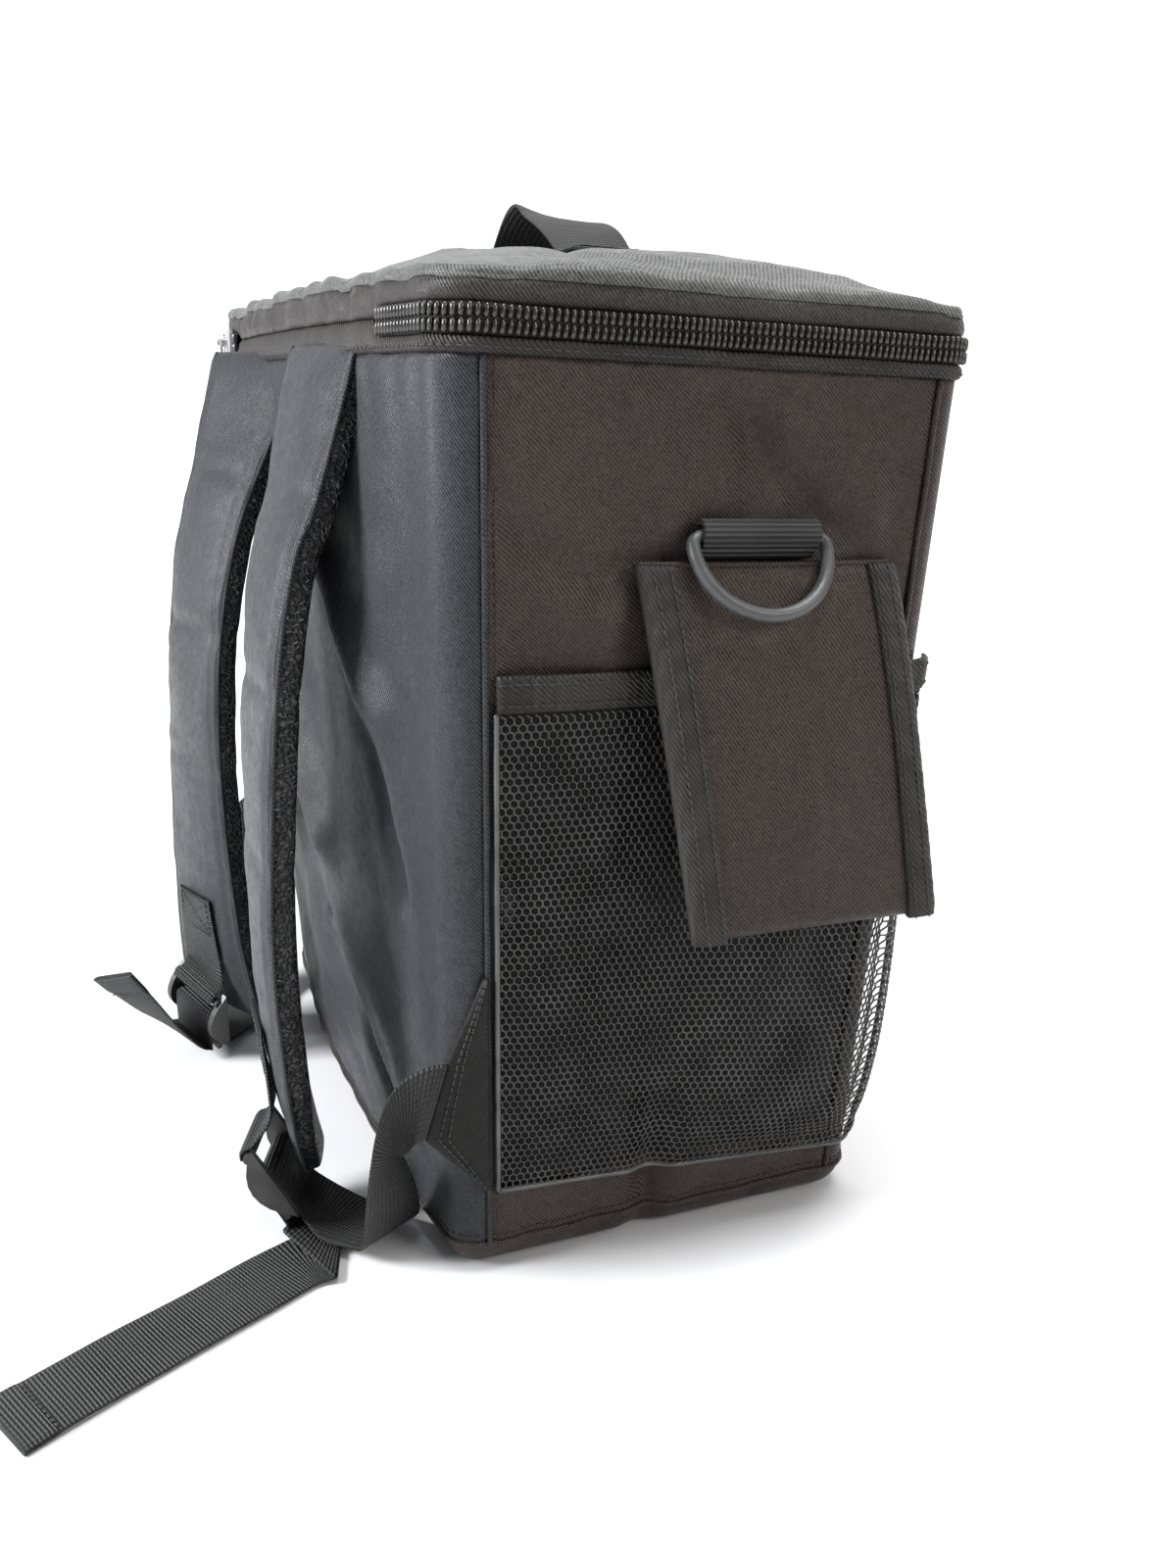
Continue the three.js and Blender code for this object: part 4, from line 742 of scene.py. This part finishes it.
STRAPS = {
    "left": [(60.2, -122.6, 346.2, 31.5, 5.6, 0, .4, -2.4, .3),
             (64.5, -132.3, 297.1, 31.9, 3.1, 0, .4, -4.5, 2.2), (66.1, -138.3, 281.6, 31.9, 2.1, 0, .3, -4.8, 1.4),
             (68, -142.3, 263.5, 32, 1.4, 0, .2, -4.9, .9), (70, -145.5, 240.8, 32, .7, 0, .1, -5, .6),
             (71.9, -147.8, 214.9, 32, .2, 0, 0, -5, .4), (73, -149.2, 190, 32, -.2, 0, 0, -5, .2),
             (74.4, -150, 165, 32, -.8, 0, -.1, -5, .1), (76.4, -150.6, 140.1, 31.9, -1.3, 0, -.2, -5, 0),
             (78.9, -150.2, 114.7, 31.8, -1.6, 0, -.3, -5, -.3), (81.8, -148.9, 90.2, 31.6, -1.6, 0, -.3, -4.9, -.6),
             (84.8, -146.4, 68.3, 28.6, -2, 0, -.4, -4.5, -.8), (88.4, -142.1, 45.9, 21.6, -3, 0, -.6, -3.7, -1.1),
             (91.7, -137.3, 26.9, 12.4, -3.4, 0, -.7, -2.8, -.9)],
    "right": [(-58.2, -139.9, 346.2, 28.5, 14.5, 0, 1.1, -2.2, .1),
              (-61, -140.9, 297.1, 30.4, 10.1, 0, 1.6, -4.7, 1.2), (-62.1, -146, 281.6, 30.7, 9.2, 0, 1.4, -4.6, 1.2),
              (-62.9, -150.4, 263.5, 30.9, 8.5, 0, 1.3, -4.7, .9), (-63.9, -154.2, 240.8, 31, 8, 0, 1.2, -4.8, .6),
              (-65.1, -157, 214.9, 31, 7.7, 0, 1.2, -4.8, .3), (-65.9, -158.2, 189.9, 31.1, 7.6, 0, 1.2, -4.9, .1),
              (-66.6, -158.6, 165, 31, 7.9, 0, 1.2, -4.8, 0), (-67.4, -158.5, 140.1, 30.8, 8.7, 0, 1.4, -4.8, -.1),
              (-68.1, -157.9, 114.7, 30.5, 9.6, 0, 1.5, -4.8, -.2), (-69, -156.8, 90.2, 30.2, 10.7, 0, 1.7, -4.7, -.3),
              (-70.2, -155.5, 68.3, 29.7, 11.9, 0, 1.7, -4.3, -.4), (-71.2, -153, 45.9, 29, 13.5, 0, 1.7, -3.5, -.6),
              (-71.9, -150.1, 26.9, 28.3, 15, 0, 1.4, -2.6, -.4)],
}


def strap(side):
    x, _, _, *half = STRAPS[side][0][:6]
    seat = float(on_body(on_back(x), TALL)[1])
    tuck = [(x, seat - 1.5, 354.5, *half, 0, -1.2, .1), (x, seat - 3.5, 350.6, *half, 0, -2.2, .3),
            (x + .1, seat - 6.5, 338.0, *half, 0, -4.2, .9)]
    r = dense(tuck + STRAPS[side][1:], 2.2)
    p, h, n = r[:, :3], r[:, 3:6], r[:, 6:9]
    full = np.linalg.norm(n, axis=1)
    n = n / full[:, None]
    full = full / 5.1
    z = p[:, 2]
    crease = np.zeros(len(z))
    for at, deep in ((228, 1.8), (161, 1.5), (300, 1.0), (96, .7)):
        crease += deep * np.exp(-((z - at) / 4.5) ** 2)
    a = [-1, -.995, -.975, -.94, -.88, -.8, -.65, -.45, -.2]
    a = np.array(a + [0] + [-v for v in a[::-1]])
    round_edge = (1 - np.abs(a) ** 14) ** .5
    quilt = .35 * lumps(a[None] * 30, z[:, None], 40, 71) + .18 * lumps(a[None] * 30, z[:, None], 15, 73)
    pad = .2 + full[:, None] * 5 * (.42 + .58 * (1 - a ** 2)) * round_edge
    pad = pad + (quilt - crease[:, None] * (1 - .5 * a ** 2)) * round_edge * full[:, None]
    pad = np.maximum(pad, .3)
    seam = 1.1 * np.exp(-((np.abs(a) - .87) / .035) ** 2)
    pad = np.maximum(pad - seam[None] * full[:, None], .25)
    lip = 1 + .012 * np.sin(z / 5)[:, None] * (np.abs(a) > .9)
    there, back = (h[:, None] * (way[None] * lip)[..., None] for way in (a, a[::-1]))
    top = p[:, None] + there + n[:, None] * pad[..., None]
    flat = p[:, None] + back + n[:, None] * .12
    rings = np.concatenate([top, flat[:, 1:-1]], 1)
    piece = loft(side + "_pad_cloth", rings, BACK, over=[side + "_strap_pad"])
    mesh_deep = full[:, None] * 10.8 * (.86 + .14 * (1 - a ** 2)) * (1 - np.abs(a) ** 40) ** .4
    mesh_deep = mesh_deep - full[:, None] * crease[:, None] * 1.2 * (1 - np.abs(a) ** 6) + .3 * quilt
    under = p[:, None] + there * .985 - n[:, None] * (.15 + np.maximum(mesh_deep, .05))[..., None]
    flat = p[:, None] + back * .985 - n[:, None] * .12
    rings = np.concatenate([under, flat[:, 1:-1]], 1)
    piece = loft(side + "_spacer_mesh", rings, MESH, over=[side + "_strap_mesh"])
    for k, sign in enumerate((-1, 1)):
        tube(f"{side}_strap_roll_{k}", p + h * sign * .99 + n * .1, .9, BACK, sides=7)


for side in ("left", "right"):
    strap(side)

STUBS = {
    "left": [(80.2, -155, 89.5, 15.9, -1, 0, -.08, -.98, -.15), (83.1, -152.6, 67.2, 15.7, -1.8, 0, -.13, -.97, -.21),
             (85.6, -150.8, 52, 15.3, -3.6, 0, -.24, -.95, .07), (89.9, -154.4, 45.6, 14.9, -5.9, 0, -.25, -.7, .66),
             (90.3, -157.3, 42.9, 14.9, -5.9, 0, -.28, -.7, .66), (89.4, -159.5, 42, 14.9, -5.9, 0, -.17, -.42, .89),
             (88.8, -161.1, 40, 14.9, -5.9, 0, -.35, -.88, .31), (88.9, -160.9, 37.2, 14.9, -5.9, 0, -.37, -.93, -.07)],
    "right": [(-66.9, -162.8, 89.8, 15.1, 5.3, 0, .33, -.94, -.09), (-67.9, -161.1, 67.7, 14.8, 6, 0, .37, -.92, -.12),
              (-68.4, -159.4, 51, 14.5, 6.8, 0, .42, -.91, .05), (-65.2, -160, 45.4, 13.7, 7.2, -4, .42, -.6, .66),
              (-63.7, -162.3, 42.9, 13.7, 7.2, -4, .4, -.4, .8), (-62.6, -163.7, 42.7, 13.7, 7.2, -4, .27, .02, .96),
              (-61.8, -166, 41.4, 13.7, 7.2, -4, .5, -.62, .61), (-62, -167, 38.9, 13.7, 7.2, -4, .51, -.82, .27)],
}
for side, rows in STUBS.items():
    piece, _ = ribbon(side + "_stub_webbing", rows, WEB, over=[side + "_lock_webbing"])
    p, h, n = (np.array(rows)[:2, k:k + 3] for k in (0, 3, 6))
    corners = [p[0] * (1 - t) + p[1] * t + h[0] * a + n[0] * 1.1
               for t, a in ((.06, -.85), (.06, .85), (.85, .85), (.85, -.85))]
    route = [corners[k] for k in (0, 1, 2, 3, 0, 2, 3, 1)]
    lines = [np.array(pair) for pair in zip(route, route[1:])]
    stitches(side + "_stub_stitches", lines, THREAD, pitch=3, length=2.2)

WEBS = {
    "left": ([(160.7, -102.1, 83, -.3, -4.3, -15.4, .97, .23, -.09), (161.9, -107.7, 83, .8, -3.5, -15.6, .99, -.11, .08),
              (160.2, -113.6, 78.8, -.6, 1, -16, .82, -.57, -.06), (157.8, -117.5, 72.2, -4.4, 4.4, -14.7, .85, -.38, -.37),
              (155, -118.8, 63.9, -8.7, 7.3, -11.3, .77, -.07, -.63), (151.8, -118.3, 54.8, -11, 9.6, -6.5, .7, .4, -.5),
              (140.7, -114, 29.9, -9, 12.8, -3.3, .82, .49, -.31), (130.6, -112.1, 10, -7.5, 14.1, 0, .73, .39, -.56),
              (123.5, -115.9, 6.2, -8, 13.9, 0, .14, .08, -.99), (112.4, -126.5, 6.2, -9.4, 12.9, 0, -.17, -.12, -.98),
              (97.3, -139.7, 13, -14.9, 5.9, 0, -.24, -.6, -.76), (94.3, -147.3, 27.1, -14.9, 5.9, 0, -.31, -.78, -.54),
              (93.1, -150.3, 30.8, -14.9, 5.9, 0, -.17, -.43, -.89), (92, -153.1, 30.4, -14.9, 5.9, 0, .19, .49, -.85),
              (91.3, -154.7, 27.9, -14.9, 5.9, 0, .37, .93, .02), (92, -153, 23.4, -14.9, 5.9, 0, .33, .82, .48),
              (95.1, -145.3, 9.3, -14.9, 5.9, 0, .29, .74, .61), (98.4, -139.7, 5.1, -12.1, 10.5, 0, .3, .35, .89),
              (102.2, -138.4, 4.5, -8.5, 13.6, 0, .09, .06, .99), (123.6, -131.5, 2.5, -20.4, 6.1, 0, .29, .96, 0),
              (129.6, -152.4, 1.4, -14.5, -6.7, 0, -.01, .02, -1), (138, -170, 1.7, -14.5, -6.7, 0, 0, 0, -1),
              (152, -200, 1.5, -14.5, -6.7, 0, 0, 0, -1), (167, -231, 1.9, -14.7, -6.3, 0, 0, 0, -1),
              (180, -257, 1.6, -14.4, -7, 0, 0, .01, -1)], (19,)),
    "right": ([(-161, -106.5, 99, .4, -3.7, -15.6, .96, -.28, .09), (-162.7, -112.5, 99, -.8, -3.5, -15.6, .99, .14, -.08),
               (-159.3, -123.5, 91.1, 4.7, 2.7, -15, .95, .04, .31), (-153.3, -126.9, 71.3, 8.9, 8.9, -9.9, .81, -.52, .26),
               (-146.4, -125.3, 47.5, 9.6, 11.8, -4.9, .8, -.58, .17), (-139.5, -122.5, 21.8, 8.4, 13.4, -2.2, .83, -.46, .32),
               (-128.5, -121.2, 6.9, 7.5, 14.1, 0, .47, -.25, .85), (-110.6, -129.1, 4, 9.6, 12.8, 0, .04, -.03, 1),
               (-92.9, -143.9, 4.9, 12.2, 10.2, -1.7, 0, .17, .99), (-74.8, -159.2, 9.2, 13.7, 7.2, -4, -.15, .68, .72),
               (-70, -159.7, 24.7, 13.7, 7.2, -4, -.41, .89, .2), (-68.2, -160.7, 29.2, 13.7, 7.2, -4, -.2, .74, .64),
               (-66.7, -163.2, 29.8, 13.7, 7.2, -4, .31, -.06, .95), (-65.9, -165.6, 28.1, 13.7, 7.2, -4, .51, -.8, .32),
               (-67, -166.1, 23.4, 13.7, 7.2, -4, .43, -.89, -.13), (-71.9, -165.5, 7.8, 13.7, 7.2, -4, .52, -.76, .39),
               (-67.4, -172.1, 12, 13.8, 7.6, -2.8, -.17, .59, .79), (-67, -183.2, 22.1, 13.7, 8.2, .6, -.42, .66, .63),
               (-66, -194.2, 36, 13.1, 8.5, 3.3, -.55, .65, .53), (-66, -205, 49.9, 12.4, 8.4, 5.7, -.63, .61, .47)], (15,)),
}
for side, (rows, breaks) in WEBS.items():
    piece, r = ribbon(side + "_shoulder_webbing", rows, WEB, step=1.8, breaks=breaks, wave=.2,
                      hem=1, over=[side + "_webbing"])
    p, h, n = r[-8, :3], r[-8, 3:6], r[-8, 6:9]
    line = [np.array([p - h * .9 + n * k * 1.6, p + h * .9 + n * k * 1.6]) for k in (-1, 1)]
    stitches(side + "_tail_stitches", line, THREAD, pitch=2.8, length=2.1)

# Triangular tabs at the back side seams

TAB = [(.516, .08), (.165, .62), (-.187, 1.0), (-.484, .08)]
for side, sign, level in (("left", 1, 84), ("right", -1, 100)):
    t = np.linspace(0, 1, 70)
    up = np.interp(t, [0, .34, .67, 1], [k[0] for k in TAB])
    out = np.interp(t, [0, .34, .67, 1], [k[1] for k in TAB]) * 26
    seam = on_body(SEAM if sign > 0 else 5 - SEAM, level + up * 91, .3)
    a = np.linspace(0, 1, 16)
    bulge = 1.6 + 1.3 * (1 - np.abs(2 * a - 1) ** 3)
    face = seam[:, None] + a[None, :, None] * out[:, None, None] * np.array([0, -1.0, 0])
    face[..., 0] += .25 * lumps(face[..., 1], face[..., 2], 18, 81)
    outer, inner = face.copy(), face[:, ::-1].copy()
    outer[..., 0] += sign * bulge
    inner[..., 0] += sign * .1
    # The tabs are drawn in the same darker twill that is the painted shade behind the nets.
    piece = loft(side + "_tab_cloth", np.concatenate([outer, inner], 1), TABS_AND_PAINTED_SHADE, over=[side + "_tab"])
    hems = [outer[:, int(k * 15)] + [sign * .35, 0, 0] for k in (.86, .7)]
    stitches(side + "_tab_stitches", hems, THREAD, pitch=3.1)

# Buckles, sliders and pulls keep their frame meshes, with eased edges

for names, look, ease in ((("left_lock", "right_lock"), LOCK, .0007),
                          (("zip_slider_a", "zip_slider_b", "zip_pull_a", "zip_pull_b"), NICKEL, .0003)):
    for name in names:
        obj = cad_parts[name]
        obj.data.materials.clear()
        obj.data.materials.append(look)
        weld = obj.modifiers.new("weld", "WELD")
        weld.merge_threshold = 2e-5
        edges = obj.modifiers.new("edges", "BEVEL")
        edges.width, edges.segments, edges.limit_method = ease, 3, "ANGLE"
        edges.angle_limit = math.radians(25)
        edges.use_clamp_overlap = True

# Floor, light and camera


def plane(name, corners, scale, dark, light):
    """A matt, faintly mottled plane in metres, with its look for the glow."""
    data = bpy.data.meshes.new(name)
    data.from_pydata(corners, [], [(0, 1, 2, 3)])
    obj = bpy.data.objects.new(name, data)
    bpy.context.scene.collection.objects.link(obj)
    look = Look(name, .9)
    look.skin.inputs["Emission Color"].default_value = (1, 1, 1, 1)
    data.materials.append(look.finish(look.blend(look.noise(scale, 2.0), dark, light)))
    return obj, look


floor, floor_look = plane("floor", [(-6, -6, 0), (6, -6, 0), (6, 6, 0), (-6, 6, 0)],
                          3, (.60, .60, .61), (.63, .63, .64))
near = floor_look.add("ShaderNodeTexGradient", {"Vector": floor_look.where.outputs["Object"]},
                      gradient_type="SPHERICAL")
away = floor_look.add("ShaderNodeMapRange", {"Value": near.outputs["Fac"], "From Min": .5,
                                             "From Max": 0.0, "To Max": .85})
floor_look.tree.links.new(away.outputs["Result"], floor_look.skin.inputs["Emission Strength"])
backdrop, wall_look = plane("backdrop", [(-7, -3, -1), (1, 9, -1), (1, 9, 9), (-7, -3, 9)],
                            2, (.6, .6, .6), (.64, .64, .64))
wall_look.skin.inputs["Emission Strength"].default_value = .75

world = bpy.data.worlds.new("studio")
world.use_nodes = True
world.node_tree.nodes["Background"].inputs["Color"].default_value = (.93, .96, 1.0, 1)
world.node_tree.nodes["Background"].inputs["Strength"].default_value = .34
bpy.context.scene.world = world


def placed(right, up, back, place):
    return Matrix([[right[k], up[k], back[k], place[k]] for k in range(3)] + [[0, 0, 0, 1]])


def lamp(name, place, aim, size, power, tint=(1, 1, 1)):
    data = bpy.data.lights.new(name, "AREA")
    data.size, data.energy, data.color = size, power, tint
    obj = bpy.data.objects.new(name, data)
    bpy.context.scene.collection.objects.link(obj)
    way = np.array(place, float) - np.array(aim, float)
    back = way / np.linalg.norm(way)
    right = np.cross([0, 0, 1.0], back)
    right /= np.linalg.norm(right)
    obj.matrix_world = placed(right, np.cross(back, right), back, place)


lamp("window", (-.1, -1.65, 1.0), (0, -.1, .2), .6, 84, (.96, .98, 1.0))
lamp("ceiling", (.2, .25, 2.0), (.05, 0, .2), .9, 46)
lamp("side", (1.5, .9, 1.2), (.1, 0, .2), .7, 16, (1.0, .95, .90))

yaw, pitch, roll = (math.radians(v) for v in (66.3, 16.2, 2.2))
aim = np.array([-math.sin(yaw) * math.cos(pitch), math.cos(yaw) * math.cos(pitch), -math.sin(pitch)])
right = np.array([math.cos(yaw), math.sin(yaw), 0])
upward = np.cross(right, aim)
right, upward = (math.cos(roll) * right + math.sin(roll) * upward,
                 math.cos(roll) * upward - math.sin(roll) * right)
lens = bpy.data.cameras.new("camera")
lens.lens, lens.sensor_width, lens.clip_start, lens.clip_end = 29.25, 36, .01, 50
camera = bpy.data.objects.new("camera", lens)
camera.matrix_world = placed(right, upward, -aim, (.571, -.225, .333))
bpy.context.scene.collection.objects.link(camera)
bpy.context.scene.camera = camera
bpy.context.scene.view_settings.view_transform = "Standard"
